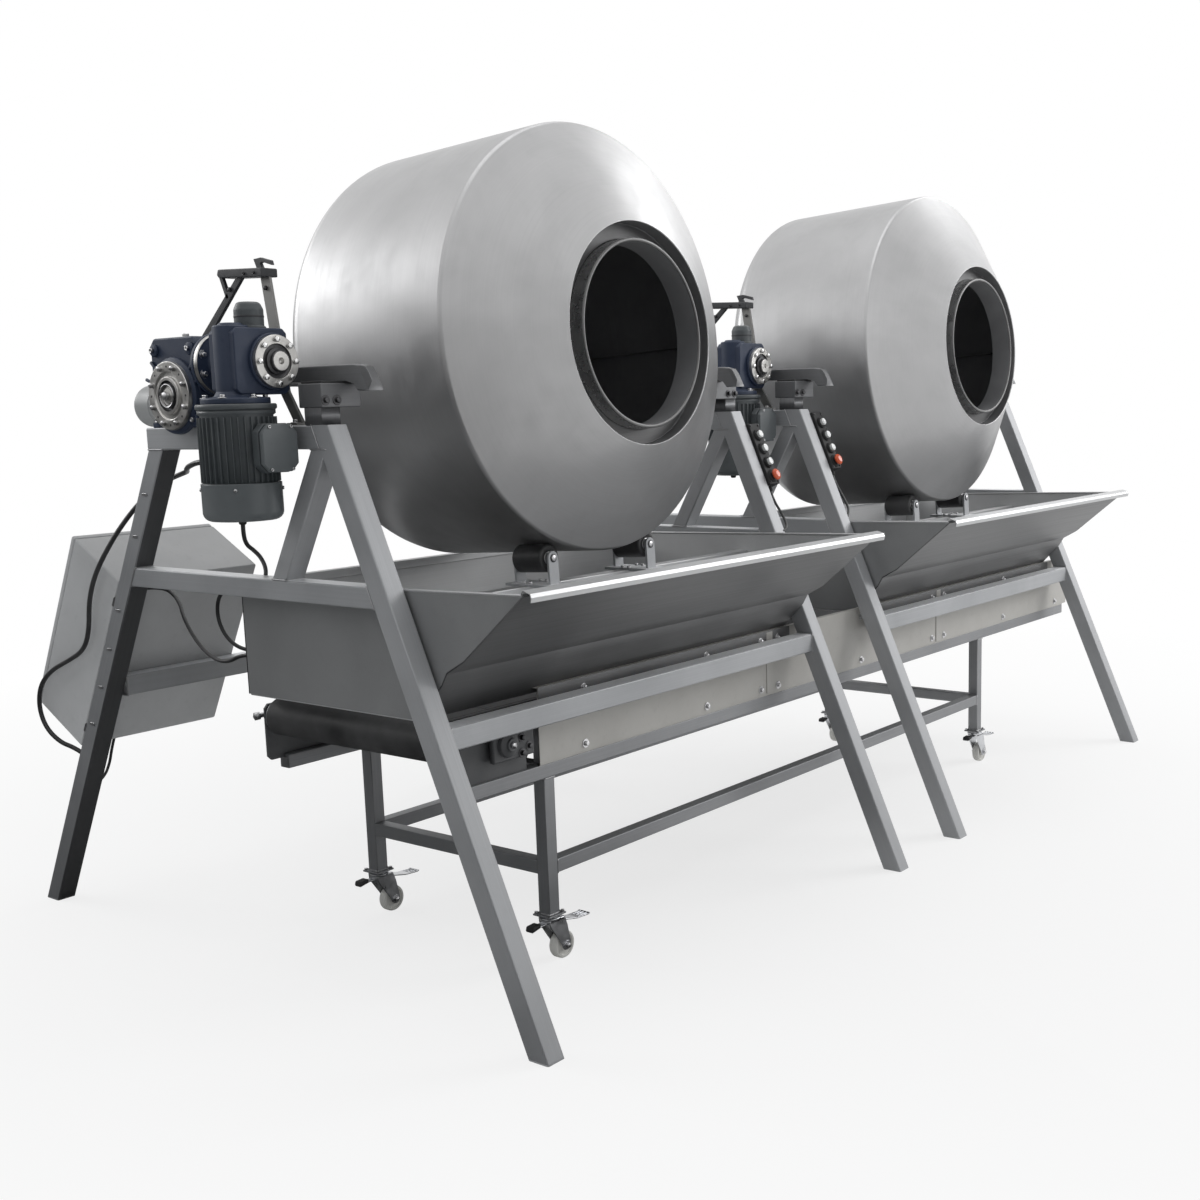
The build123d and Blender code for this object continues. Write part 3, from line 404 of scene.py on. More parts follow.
def spun(name, color, roughness, centre):
    """Drum steel polished in turning: rings round the pan's axis, soft clouds and wiping marks."""
    s = Surface(name, color, metallic=0.85, roughness=roughness)
    offset = s.vector("SUBTRACT", s.place(), centre)
    along = s.vector("DOT_PRODUCT", offset, AXIS_DIR, "Value")
    upward = s.vector("DOT_PRODUCT", offset, UP_DIR, "Value")
    sideways = s.part(offset, "X")
    squares = s.math("ADD", s.math("MULTIPLY", upward, upward), s.math("MULTIPLY", sideways, sideways))
    rings = s.node("CombineXYZ", {"X": s.math("SQRT", squares), "Y": along}).outputs["Vector"]
    lines = s.noise(s.vector("ADD", s.scaled(rings, 330.0), s.scaled(offset, 2.2)), 1.0, 3.0, 0.6)
    wide = s.noise(s.place(), 1.9, 5.0, 0.55, 0.6)
    blotch = s.noise(s.place(), 9.0, 4.0, 0.6, 0.3)
    tone = s.blend(s.spread(wide, 0.0, 1.0), darker(color, 0.16), lighter(color, 0.06))
    tone = s.blend(s.spread(lines, 0.0, 0.12), tone, darker(color, 0.30))
    tone = s.blend(s.spread(blotch, 0.0, 0.14, 0.5, 0.75), tone, darker(color, 0.30))
    s.set("Base Color", tone)
    rough = s.math("ADD", s.spread(lines, -0.03, 0.05), s.spread(blotch, roughness - 0.04, roughness + 0.06))
    s.set("Roughness", rough)
    s.bump(lines, 0.10, 0.0003)
    s.bump(wide, 0.05, 0.01)
    spaces = {"vector_type": "VECTOR", "convert_from": "OBJECT", "convert_to": "WORLD"}
    turn = s.node("VectorTransform", {"Vector": s.vector("CROSS_PRODUCT", offset, AXIS_DIR)}, **spaces)
    s.set("Tangent", turn.outputs["Vector"])
    s.set("Anisotropic", 0.6)
    return s.material


def turned(name, color, roughness, scratches=900.0):
    """Small machined metal: fine random scratches and a slightly uneven tone."""
    s = Surface(name, color, metallic=1.0, roughness=roughness)
    fine = s.noise(s.place(), scratches, 2.0)
    wide = s.noise(s.place(), 24.0, 4.0, 0.6)
    s.set("Base Color", s.blend(s.spread(wide, 0.0, 1.0), darker(color, 0.22), lighter(color, 0.10)))
    s.set("Roughness", s.spread(wide, roughness - 0.06, roughness + 0.10))
    s.bump(fine, 0.12, 0.0003)
    return s.material


def rubbery(name, color, roughness=0.55, grain=1400.0, strength=0.25, specular=0.4):
    """Rubber or moulded plastic: fine grain, dusty patches."""
    s = Surface(name, color, roughness=roughness, Specular_IOR_Level=specular)
    wide = s.noise(s.place(), 6.0, 4.0, 0.6)
    s.set("Base Color", s.blend(s.spread(wide, 0.0, 1.0), color, lighter(color, 0.05)))
    s.set("Roughness", s.spread(wide, roughness - 0.08, roughness + 0.08))
    s.bump(s.noise(s.place(), grain, 2.0), strength, 0.0003)
    return s.material


leg_steel = brushed("frame steel, legs", (0.44, 0.447, 0.46), 0.54, metallic=0.3, foot=0.12)
# Rear legs: a darker copy of the leg steel, painted shade, with more painted shade on faces that look down
# and a darker tone towards the floor.
shaded_rear_leg_steel = brushed(
    "frame steel, rear legs, painted shade", (0.34, 0.347, 0.36), 0.58, metallic=0.3, painted_shade_below=0.75, foot=0.50
)
# Bars, with a painted highlight on the faces that look up.
bar_steel_highlit_tops = brushed("frame steel, bars, painted highlight on tops", (0.44, 0.45, 0.465), 0.50, metallic=0.4, top=0.9)
stop_steel = brushed("stop block steel", (0.17, 0.173, 0.18), 0.52)
arm_steel = brushed("cradle steel", (0.20, 0.203, 0.21), 0.52)
end_steel = brushed("hopper end plate", (0.36, 0.365, 0.37), 0.48, 0.08, 0.08)
# Outside of the hopper sheet: a dark copy of the sheet steel, painted shade on walls that face down and away
# from the light.
hopper_steel = brushed("hopper sheet", (0.16, 0.161, 0.164), 0.46, 0.08, 0.08)
# Inside of the hopper sheet: a lighter copy of the sheet steel, painted light.
painted_light_inside = brushed("hopper sheet inside, painted light", (0.72, 0.725, 0.73), 0.48, 0.08, 0.08)
# Lip edges: a lighter copy of the sheet steel, a painted highlight.
painted_highlight_steel = brushed("bright edge, painted highlight", (0.56, 0.565, 0.57), 0.38, 0.10, 0.05)
conveyor_steel = brushed("conveyor steel", (0.28, 0.285, 0.295), 0.50)
weld_steel = brushed("weld", (0.42, 0.42, 0.43), 0.38, 0.10, 0.20)
# Mouth collar: the groove's steel darkened as painted shade, the neck's steel brightened as a painted
# highlight.
shaded_collar_steel = brushed("collar steel, painted shade", (0.20, 0.20, 0.205), 0.40, 0.10, 0.10)
highlit_neck_steel = turned("neck steel, painted highlight", (0.85, 0.85, 0.85), 0.26, 500.0)
rim_steel = brushed("neck rim steel", (0.12, 0.12, 0.12), 0.40)
drum_inside = brushed("drum inside", (0.34, 0.34, 0.35), 0.50, 0.15, 0.20, 0.35)
shaded_groove_steel = brushed("groove steel, painted shade", (0.06, 0.06, 0.062), 0.50, 0.15, 0.20)
strap_steel = brushed("strap steel", (0.30, 0.295, 0.285), 0.48, 0.10, 0.10)
roller_metal = brushed("pulley steel", (0.30, 0.31, 0.32), 0.40)
gear_paint = painted("gearbox navy", (0.004, 0.018, 0.056), 0.50, 700.0, 0.15, 0.06, 0.02)
motor_paint = painted("motor slate", (0.068, 0.080, 0.086), 0.42, 800.0, 0.15, 0.10, 0.12)
cowl_paint = painted("motor cowl slate", (0.135, 0.150, 0.157), 0.40, 800.0, 0.12, 0.10, 0.12)
cowl_grey = painted("cowl light grey", (0.40, 0.41, 0.41), 0.40)
bracket_paint = painted("bracket dark", (0.018, 0.019, 0.024), 0.50, 900.0, 0.12, 0.10, 0.10)
iron_paint = painted("bearing housing", (0.06, 0.062, 0.066), 0.48, 400.0, 0.25, 0.10, 0.12)
panel_paint = painted("conveyor panel", (0.50, 0.485, 0.455), 0.45)
cabinet_paint = painted("cabinet paint", (0.55, 0.555, 0.56), 0.45, 1300.0, 0.20)
cover_alloy = turned("cover alloy", (0.62, 0.61, 0.59), 0.34)
button_metal = turned("bright screw", (0.86, 0.86, 0.86), 0.24)
bolt_steel = turned("bolt steel", (0.66, 0.66, 0.67), 0.30)
dark_steel = turned("blackened steel", (0.06, 0.06, 0.065), 0.50)
zinc = turned("castor zinc", (0.62, 0.63, 0.65), 0.32)
nylon = rubbery("wheel nylon", (0.72, 0.71, 0.67), 0.42, 500.0, 0.1, 0.5)
belt_rubber = rubbery("belt", (0.022, 0.022, 0.023), 0.58, 500.0, 0.5)
roller_rubber = rubbery("rest roller", (0.03, 0.03, 0.031), 0.5)
box_plastic = rubbery("box plastic", (0.007, 0.007, 0.008), 0.62, 1200.0, 0.3, 0.22)
button_plastic = rubbery("button cap", (0.72, 0.73, 0.72), 0.25, 300.0, 0.03, 0.5)
stop_plastic = rubbery("stop button", (0.75, 0.10, 0.02), 0.28, 300.0, 0.03, 0.5)
cable_rubber = rubbery("cable", (0.012, 0.012, 0.013), 0.40, 1600.0, 0.15, 0.5)


# Forms
SHARP_TURN = radians(25)
PARALLEL = 0.99
ON_AXIS = 1e-6
STRAIGHT = 1e-4
MERGE_GAP = 1e-7
BEAD_PITCH = 0.006
BEAD_SIDES = 6


def rounded(points, radii, steps=5):
    """Rounds the inner corners of an open profile; radii holds one value a point."""
    made = [Vector(points[0])]
    for index in range(1, len(points) - 1):
        before, corner, after = (Vector(points[k]) for k in (index - 1, index, index + 1))
        radius = radii[index]
        into, out = (corner - before).normalized(), (after - corner).normalized()
        turn = into.angle(out, 0.0)
        if radius <= 0 or turn < STRAIGHT:
            made.append(corner)
            continue
        cut = radius * tan(turn / 2)
        start, end = corner - into * cut, corner + out * cut
        middle = corner + (out - into).normalized() * (radius / cos(turn / 2))
        for step in range(steps + 1):
            spoke = (start - middle).lerp(end - middle, step / steps)
            made.append(middle + spoke.normalized() * radius)
    made.append(Vector(points[-1]))
    return [(p.x, p.y) for p in made]


def bent_sheet(points, thickness):
    """The outline of a folded sheet: a line and its copy moved to the left by the thickness."""
    line = [Vector(p) for p in points]
    twins = []
    for index, point in enumerate(line):
        into = (point - line[index - 1]).normalized() if index else None
        out = (line[index + 1] - point).normalized() if index < len(line) - 1 else None
        into, out = into or out, out or into
        left = Vector((-into.y - out.y, into.x + out.x)).normalized()
        square = Vector((-into.y, into.x))
        twins.append(point + left * (thickness / left.dot(square)))
    return [(p.x, p.y) for p in line + twins[::-1]]


def box_outline(u, v, radius=0.0, steps=4):
    """A rectangle by its two limits on each axis, its corners rounded."""
    corners = [(u[0], v[0]), (u[1], v[0]), (u[1], v[1]), (u[0], v[1])]
    if radius <= 0:
        return corners
    made = []
    for (cu, cv), start in zip(corners, (pi, 1.5 * pi, 0, 0.5 * pi)):
        mu = cu + radius if cu == u[0] else cu - radius
        mv = cv + radius if cv == v[0] else cv - radius
        for step in range(steps + 1):
            angle = start + 0.5 * pi * step / steps
            made.append((mu + radius * cos(angle), mv + radius * sin(angle)))
    return made


def cut_outline(u, v, cut):
    """A rectangle by its two limits on each axis, its corners cut."""
    (a, b), (c, d) = u, v
    low = [(a + cut, c), (b - cut, c), (b, c + cut)]
    return low + [(b, d - cut), (b - cut, d), (a + cut, d), (a, d - cut), (a, c + cut)]


def half_turn(u, v, reach, rise, steps):
    """Points on half an ellipse round (u, v), from its right end to its left."""
    angles = [pi * k / steps for k in range(steps + 1)]
    return [(u + reach * cos(angle), v + rise * sin(angle)) for angle in angles]


class Shape:
    """One mesh of several forms. Each form brings its material and coordinates along its own grain."""

    def __init__(self):
        self.bm = bmesh.new()
        self.grain = self.bm.verts.layers.float_vector.new("grain")
        self.materials = []

    def take(self, made, material, grain_of):
        if material not in self.materials:
            self.materials.append(material)
        twins = {}
        for vert in made.verts:
            twin = self.bm.verts.new(vert.co)
            twin[self.grain] = grain_of(vert.co)
            twins[vert] = twin
        for face in made.faces:
            twin = self.bm.faces.new([twins[vert] for vert in face.verts])
            twin.material_index = self.materials.index(material)
            twin.smooth = True
        made.free()

    def prism(self, origin, x_dir, y_dir, outline, low, high, material, bevel=0.0, grain=None, every=False):
        """An outline drawn out along its plane's normal; its edges along the grain, or all, are rounded."""
        normal = x_dir.cross(y_dir)
        along = normal if grain is None else grain.normalized()
        made = bmesh.new()
        ends = []
        for level in (low, high):
            foot = origin + normal * level
            ends.append([made.verts.new(foot + x_dir * u + y_dir * v) for u, v in outline])
        made.faces.new(reversed(ends[0]))
        made.faces.new(ends[1])
        count = len(outline)
        for k in range(count):
            other = (k + 1) % count
            made.faces.new((ends[0][k], ends[0][other], ends[1][other], ends[1][k]))
        bmesh.ops.recalc_face_normals(made, faces=made.faces[:])
        if bevel > 0:
            edges = []
            for edge in made.edges:
                way = (edge.verts[1].co - edge.verts[0].co).normalized()
                if edge.calc_face_angle(0.0) > SHARP_TURN and (every or abs(way.dot(along)) > PARALLEL):
                    edges.append(edge)
            settings = {"offset_type": "OFFSET", "segments": 2, "profile": 0.5, "affect": "EDGES"}
            bmesh.ops.bevel(made, geom=edges, offset=bevel, clamp_overlap=True, **settings)
        across = along.orthogonal().normalized()
        third = along.cross(across)
        self.take(made, material, lambda co: (co.dot(across), co.dot(third), co.dot(along)))

    def block(self, x, y, z, material, bevel=0.0, grain=ALONG_X, every=False):
        """A box by its limits along the line."""
        outline = box_outline((0, x[1] - x[0]), (0, y[1] - y[0]))
        corner, height = at(x[0], y[0], z[0]), z[1] - z[0]
        self.prism(corner, ALONG_X, ALONG_Y, outline, 0, height, material, bevel, grain, every)

    def plate(self, x, y, z, material, bevel=0.001):
        """A box with all its edges broken."""
        self.block(x, y, z, material, bevel, every=True)

    def side(self, x, outline, low, high, material, bevel=0.001, grain=ALONG_X, every=True):
        """An outline in the line's Y and Z, drawn out along X from low to high."""
        self.prism(at(x, 0, 0), ALONG_Y, ALONG_Z, outline, low, high, material, bevel, grain, every)

    def slab(self, x, outline, half, material, grain, bevel=TUBE_CORNER, every=False):
        """An outline in the line's Y and Z, drawn out both ways along X."""
        self.side(x, outline, -half, half, material, bevel, grain, every)

    def front(self, x, y, outline, low, high, material, bevel=0.001, grain=ALONG_Y, every=True):
        """An outline in the line's X and Z, drawn out towards the front from low to high."""
        self.prism(at(x, y, 0), ALONG_X, ALONG_Z, outline, low, high, material, bevel, grain, every)

    def lathe(self, origin, axis, profile, material, steps=48, radii=None, arcs=4):
        """A profile of (radius, distance along the axis) turned about the axis; radii round its corners."""
        if radii:
            profile = rounded(profile, radii, arcs)
        axis = axis.normalized()
        side = axis.orthogonal().normalized()
        ring = spokes(side, axis.cross(side), steps)
        made = bmesh.new()
        rows = []
        for radius, along in profile:
            centre = origin + axis * along
            if radius < ON_AXIS:
                rows.append([made.verts.new(centre)])
            else:
                rows.append([made.verts.new(centre + spoke * radius) for spoke in ring])
        for low, high in zip(rows, rows[1:]):
            if len(low) == len(high) == 1:
                continue
            for k in range(steps):
                n = (k + 1) % steps
                if len(low) == 1:
                    made.faces.new((low[0], high[n], high[k]))
                elif len(high) == 1:
                    made.faces.new((low[k], low[n], high[0]))
                else:
                    made.faces.new((low[k], low[n], high[n], high[k]))
        bmesh.ops.remove_doubles(made, verts=made.verts[:], dist=MERGE_GAP)
        bmesh.ops.recalc_face_normals(made, faces=made.faces[:])

        def grain_of(co):
            offset = co - origin
            along = offset.dot(axis)
            return ((offset - axis * along).length, along, 0.0)

        self.take(made, material, grain_of)

    def disc(self, origin, axis, radius, low, high, material, steps=40, edge=0.0015):
        """A round boss or rod with its rims broken."""
        rim = radius - edge
        profile = [(0, low), (rim, low), (radius, low + edge), (radius, high - edge), (rim, high), (0, high)]
        self.lathe(origin, axis, profile, material, steps)

    def bolt(self, place, axis, across, material, washer=None):
        """A hexagon head with its chamfer, on a washer."""
        rim = across / sqrt(3)
        base = 0.0
        if washer:
            base, ring = across * 0.14, across * 1.02
            edge = base * 0.3
            profile = [(0, 0), (ring, 0), (ring, base - edge), (ring - edge, base), (0, base)]
            self.lathe(place, axis, profile, washer, 20)
        height = across * 0.62
        high, chamfer = base + height, base + height * 0.82
        head = [(0, base), (rim, base), (rim, chamfer), (rim * 0.86, high), (0, high)]
        self.lathe(place, axis, head, material, 6)

    def bolts(self, centre, u, v, radius, count, shift, axis, across, material, washer=None):
        """A ring of bolts in the plane of u and v."""
        for spoke in spokes(u, v, count, shift):
            self.bolt(centre + spoke * radius, axis, across, material, washer)

    def socket_screw(self, place, axis, radius, material, dark):
        """A cap screw with its hexagon socket."""
        height, bore, hexagon = radius * 1.1, radius * 0.52, radius * 0.5
        floor, low, high = height * 0.45, height * 0.46, height * 0.5
        head = [
            (0, 0), (radius, 0), (radius, height * 0.85), (radius * 0.9, height), (bore, height),
            (bore, floor), (0, floor)
        ]
        self.lathe(place, axis, head, material, 16)
        self.lathe(place, axis, [(0, low), (hexagon, low), (hexagon, high), (0, high)], dark, 6)

    def bead(self, points, radius, material, closed=False, seed=1):
        """A weld bead along a line: overlapping ripples of uneven size."""
        line = [Vector(p) for p in points]
        if closed:
            line.append(line[0])
        spots = []
        for a, b in zip(line, line[1:]):
            count = max(1, int((b - a).length / BEAD_PITCH))
            spots += [(a.lerp(b, k / count), (b - a).normalized()) for k in range(count)]
        spots.append((line[-1], (line[-1] - line[-2]).normalized()))
        chance = random.Random(seed)
        made = bmesh.new()
        rows = []
        for index, (spot, way) in enumerate(spots):
            side = way.orthogonal().normalized()
            ring = spokes(side, way.cross(side), BEAD_SIDES)
            size = radius * (1.0 if index % 2 else 0.82) * chance.uniform(0.9, 1.1)
            rows.append([made.verts.new(spot + spoke * size) for spoke in ring])
        for low, high in zip(rows, rows[1:]):
            shift = min(range(BEAD_SIDES), key=lambda s: (low[0].co - high[s].co).length)
            high = high[shift:] + high[:shift]
            for k in range(BEAD_SIDES):
                n = (k + 1) % BEAD_SIDES
                made.faces.new((low[k], low[n], high[n], high[k]))
        made.faces.new(reversed(rows[0]))
        made.faces.new(rows[-1])
        bmesh.ops.recalc_face_normals(made, faces=made.faces[:])
        self.take(made, material, lambda co: tuple(co))

    def finish(self, name, body, slot, replaces=None, sharp=34):
        for edge in self.bm.edges:
            if len(edge.link_faces) == 2 and edge.calc_face_angle(0.0) > radians(sharp):
                edge.smooth = False
        piece = add_mesh(name, self.bm, self.materials)
        shading = piece.modifiers.new("shading", "WEIGHTED_NORMAL")
        shading.keep_sharp = True
        shading.weight = 60
        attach(piece, body)
        if replaces:
            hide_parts(replaces)


# Cables: the same routes as the CAD source, in metres along the line
CABLES = {
    "supply_cable": (
        0.014, 1.801,
        [
            (-0.135, 0.974, 1.420), (-0.132, 1.040, 1.418), (-0.108, 1.120, 1.405), (-0.055, 1.210, 1.392),
            (0.010, 1.300, 1.384), (0.056, 1.395, 1.375), (0.060, 1.490, 1.352), (0.024, 1.562, 1.296),
            (-0.022, 1.604, 1.222), (-0.052, 1.645, 1.148), (-0.056, 1.706, 1.076), (-0.052, 1.752, 1.000),
            (-0.050, 1.768, 0.915), (-0.050, 1.806, 0.852), (-0.052, 1.896, 0.812), (-0.050, 1.996, 0.776),
            (-0.050, 2.074, 0.722), (-0.050, 2.098, 0.650), (-0.048, 2.072, 0.584), (-0.034, 2.020, 0.540),
            (-0.008, 1.984, 0.522), (0.000, 1.9313, 0.500),
        ],
    ),
    "droop_cable": (
        0.011, 0.597,
        [
            (0.030, 1.612, 1.038), (0.102, 1.606, 1.040), (0.104, 1.534, 1.004), (0.074, 1.470, 0.950),
            (0.062, 1.392, 0.886), (0.060, 1.318, 0.848), (0.062, 1.254, 0.846), (0.066, 1.198, 0.872),
            (0.066, 1.137, 0.876),
        ],
    ),
    "motor_cable": (
        0.011, 0.855,
        [
            (-0.135, 0.870, 1.262), (-0.1345, 0.872, 1.234), (-0.120, 0.881, 1.209), (-0.085, 0.902, 1.192),
            (-0.045, 0.929, 1.169), (0.000, 0.972, 1.136), (0.043, 1.032, 1.101), (0.068, 1.106, 1.070),
            (0.076, 1.180, 1.066), (0.075, 1.246, 1.062), (0.072, 1.294, 1.030), (0.070, 1.304, 0.976),
            (0.070, 1.280, 0.926), (0.076, 1.238, 0.892), (0.088, 1.188, 0.880), (0.096, 1.137, 0.884),
        ],
    ),
    "panel_cable_a": (
        0.009, 0.170,
        [
            (1.771, 0.5501, 1.2308), (1.771, 0.536, 1.198), (1.773, 0.512, 1.164), (1.768, 0.488, 1.130),
            (1.752, 0.474, 1.108), (1.730, 0.4765, 1.102),
        ],
    ),
    "panel_cable_b": (
        0.009, 0.170,
        [
            (2.201, 0.5635, 1.2621), (2.201, 0.549, 1.230), (2.202, 0.528, 1.196), (2.203, 0.508, 1.163),
            (2.195, 0.492, 1.138), (2.174, 0.487, 1.119),
        ],
    ),
    "cabinet_cable_1": (
        0.009, 0.127,
        [(0.066, 1.9533, 0.5437), (0.066, 1.974, 0.505), (0.060, 1.984, 0.464), (0.030, 1.954, 0.446)],
    ),
    "cabinet_cable_2": (
        0.009, 0.211,
        [
            (0.112, 1.9533, 0.5437), (0.112, 1.978, 0.498), (0.108, 1.992, 0.446), (0.084, 1.990, 0.406),
            (0.030, 1.962, 0.392),
        ],
    ),
}


def make_cable(name, diameter, length, points):
    data = bpy.data.curves.new(name + "_line", "CURVE")
    data.dimensions = "3D"
    data.bevel_depth = diameter / 2
    data.bevel_resolution = 5
    data.resolution_u = 16
    data.use_fill_caps = True
    spline = data.splines.new("NURBS")
    spline.points.add(len(points) - 1)
    for control, point in zip(spline.points, points):
        control.co = (*at(*point), 1.0)
    spline.use_endpoint_u = True
    spline.order_u = 3
    data.materials.append(cable_rubber)
    cable = add_object(name + "_line", data)
    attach(cable, "base")
    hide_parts(name)
    start = tuple(at(*points[0]))


for name, (diameter, length, points) in CABLES.items():
    make_cable(name, diameter, length, points)


# Stands
FRONT_RUN = TUBE / cos(FRONT_LEAN)
REAR_RUN = TUBE / cos(REAR_LEAN)
TOP_LOW = FRAME_HEIGHT - TUBE
RAIL_TOP = CROSS_RAIL_Z + CROSS_RAIL_HEIGHT
BAR_Z = (LOWER_BAR_Z, LOWER_BAR_Z + TUBE)
BEAD = 0.0032
STOP_POST = 0.042
STOP_PAD = 0.006


def front_leg_y(z):
    return FRONT_TOP_Y * z / FRAME_HEIGHT


def rear_leg_y(z):
    return REAR_FOOT_Y - (REAR_FOOT_Y - REAR_TOP_Y) * z / (FRAME_HEIGHT - CROSS_RAIL_HEIGHT)


def weld_loop(shape, x, corners, radius=BEAD, seed=1):
    """A bead round a joint; corners are (x offset, y, z)."""
    shape.bead([at(x + dx, y, z) for dx, y, z in corners], radius, weld_steel, True, seed=seed)


def section_loop(x, y, z):
    """The corners of a bar's section at one x."""
    return [(x, y[0], z[0]), (x, y[1], z[0]), (x, y[1], z[1]), (x, y[0], z[1])]


def level_loop(x, y, z):
    """The corners of a post's section at one height."""
    return [(x[0], y[0], z), (x[0], y[1], z), (x[1], y[1], z), (x[1], y[0], z)]


def make_stand(tag, left):
    steel = Shape()
    half = TUBE / 2
    rear_bar_y = rear_leg_y(LOWER_BAR_Z) - TUBE - REAR_BAR_SETBACK
    stop_y = (FRONT_TOP_Y + 0.018, FRONT_TOP_Y + 0.106)
    pad_z = ARM_MIDDLE_Z - ARM_HEIGHT / 2
    brace_way = Vector((0, BRACE_TOP_Y - BRACE_FOOT_Y, TOP_LOW - RAIL_TOP))
    front = [(0, 0), (FRONT_RUN, 0), (FRONT_TOP_Y + FRONT_RUN, FRAME_HEIGHT), (FRONT_TOP_Y, FRAME_HEIGHT)]
    top_rear = rear_leg_y(TOP_LOW)
    rear = [
        (REAR_FOOT_Y, 0), (REAR_FOOT_Y - REAR_RUN, 0), (top_rear - REAR_RUN, TOP_LOW), (top_rear, TOP_LOW)
    ]
    top = [
        (front_leg_y(TOP_LOW) + FRONT_RUN, TOP_LOW), (top_rear, TOP_LOW), (top_rear, FRAME_HEIGHT),
        (FRONT_TOP_Y + FRONT_RUN, FRAME_HEIGHT)
    ]
    rail = [
        (front_leg_y(CROSS_RAIL_Z) + FRONT_RUN, CROSS_RAIL_Z),
        (rear_leg_y(CROSS_RAIL_Z) - REAR_RUN, CROSS_RAIL_Z), (rear_leg_y(RAIL_TOP) - REAR_RUN, RAIL_TOP),
        (front_leg_y(RAIL_TOP) + FRONT_RUN, RAIL_TOP)
    ]
    brace = [
        (BRACE_FOOT_Y - half, RAIL_TOP), (BRACE_FOOT_Y + half, RAIL_TOP), (BRACE_TOP_Y + half, TOP_LOW),
        (BRACE_TOP_Y - half, TOP_LOW)
    ]
    joints = [
        (rail[0], rail[3]), (rail[1], rail[2]), (brace[0], brace[1]), (brace[2], brace[3]),
        (top[0], top[3]), (rear[2], rear[3])
    ]
    for plane, inner in ((left, 1), (left + STAND_WIDTH, -1)):
        steel.slab(plane, front, half, leg_steel, FRONT_LEG_WAY)
        steel.slab(plane, rear, half, shaded_rear_leg_steel, REAR_LEG_WAY)
        steel.slab(plane, top, half, bar_steel_highlit_tops, ALONG_Y)
        steel.slab(plane, rail, half, bar_steel_highlit_tops, ALONG_Y)
        steel.slab(plane, brace, half - 0.0005, leg_steel, brace_way)
        # Beads at the ends of the rail, the brace, the top bar and the lower bars
        for number, (low, high) in enumerate(joints):
            loop = [(-half, *low), (-half, *high), (half, *high), (half, *low)]
            weld_loop(steel, plane, loop, 0.0026, number)
        for y in (LOWER_BAR_Y, rear_bar_y):
            weld_loop(steel, plane, section_loop(inner * half, (y, y + TUBE), BAR_Z), BEAD, 7)
        # Stop that the cradle's arm rests on: a block with a rubber pad, on a post
        reach = sorted((plane - inner * half, plane + inner * (ARM_INSET + ARM_WIDTH / 2)))
        steel.plate(reach, stop_y, (FRAME_HEIGHT + STOP_POST, pad_z - STOP_PAD), stop_steel, 0.003)
        pad_x, pad_y = ((low + 0.006, high - 0.006) for low, high in (reach, stop_y))
        steel.plate(pad_x, pad_y, (pad_z - STOP_PAD, pad_z), roller_rubber)
        post_z = (FRAME_HEIGHT, FRAME_HEIGHT + STOP_POST)
        steel.block(
            around(plane, half), (FRONT_TOP_Y + 0.022, FRONT_TOP_Y + 0.088), post_z, stop_steel, 0.003,
            ALONG_Z
        )
        for dx in (-0.018, 0.018):
            steel.bolt(
                at(plane + dx, stop_y[0], FRAME_HEIGHT + 0.060), -ALONG_Y, 0.013, dark_steel, dark_steel
            )
    for y in (LOWER_BAR_Y, rear_bar_y):
        steel.block((left + half, left + STAND_WIDTH - half), (y, y + TUBE), BAR_Z, bar_steel_highlit_tops, TUBE_CORNER)
    steel.finish(f"stand_{tag}", "base", "frame_steel", f"stand_frame_{tag}")


# Pans
PAN_STEPS = 192
COLLAR_STEPS = 160
ROLL = 0.0055


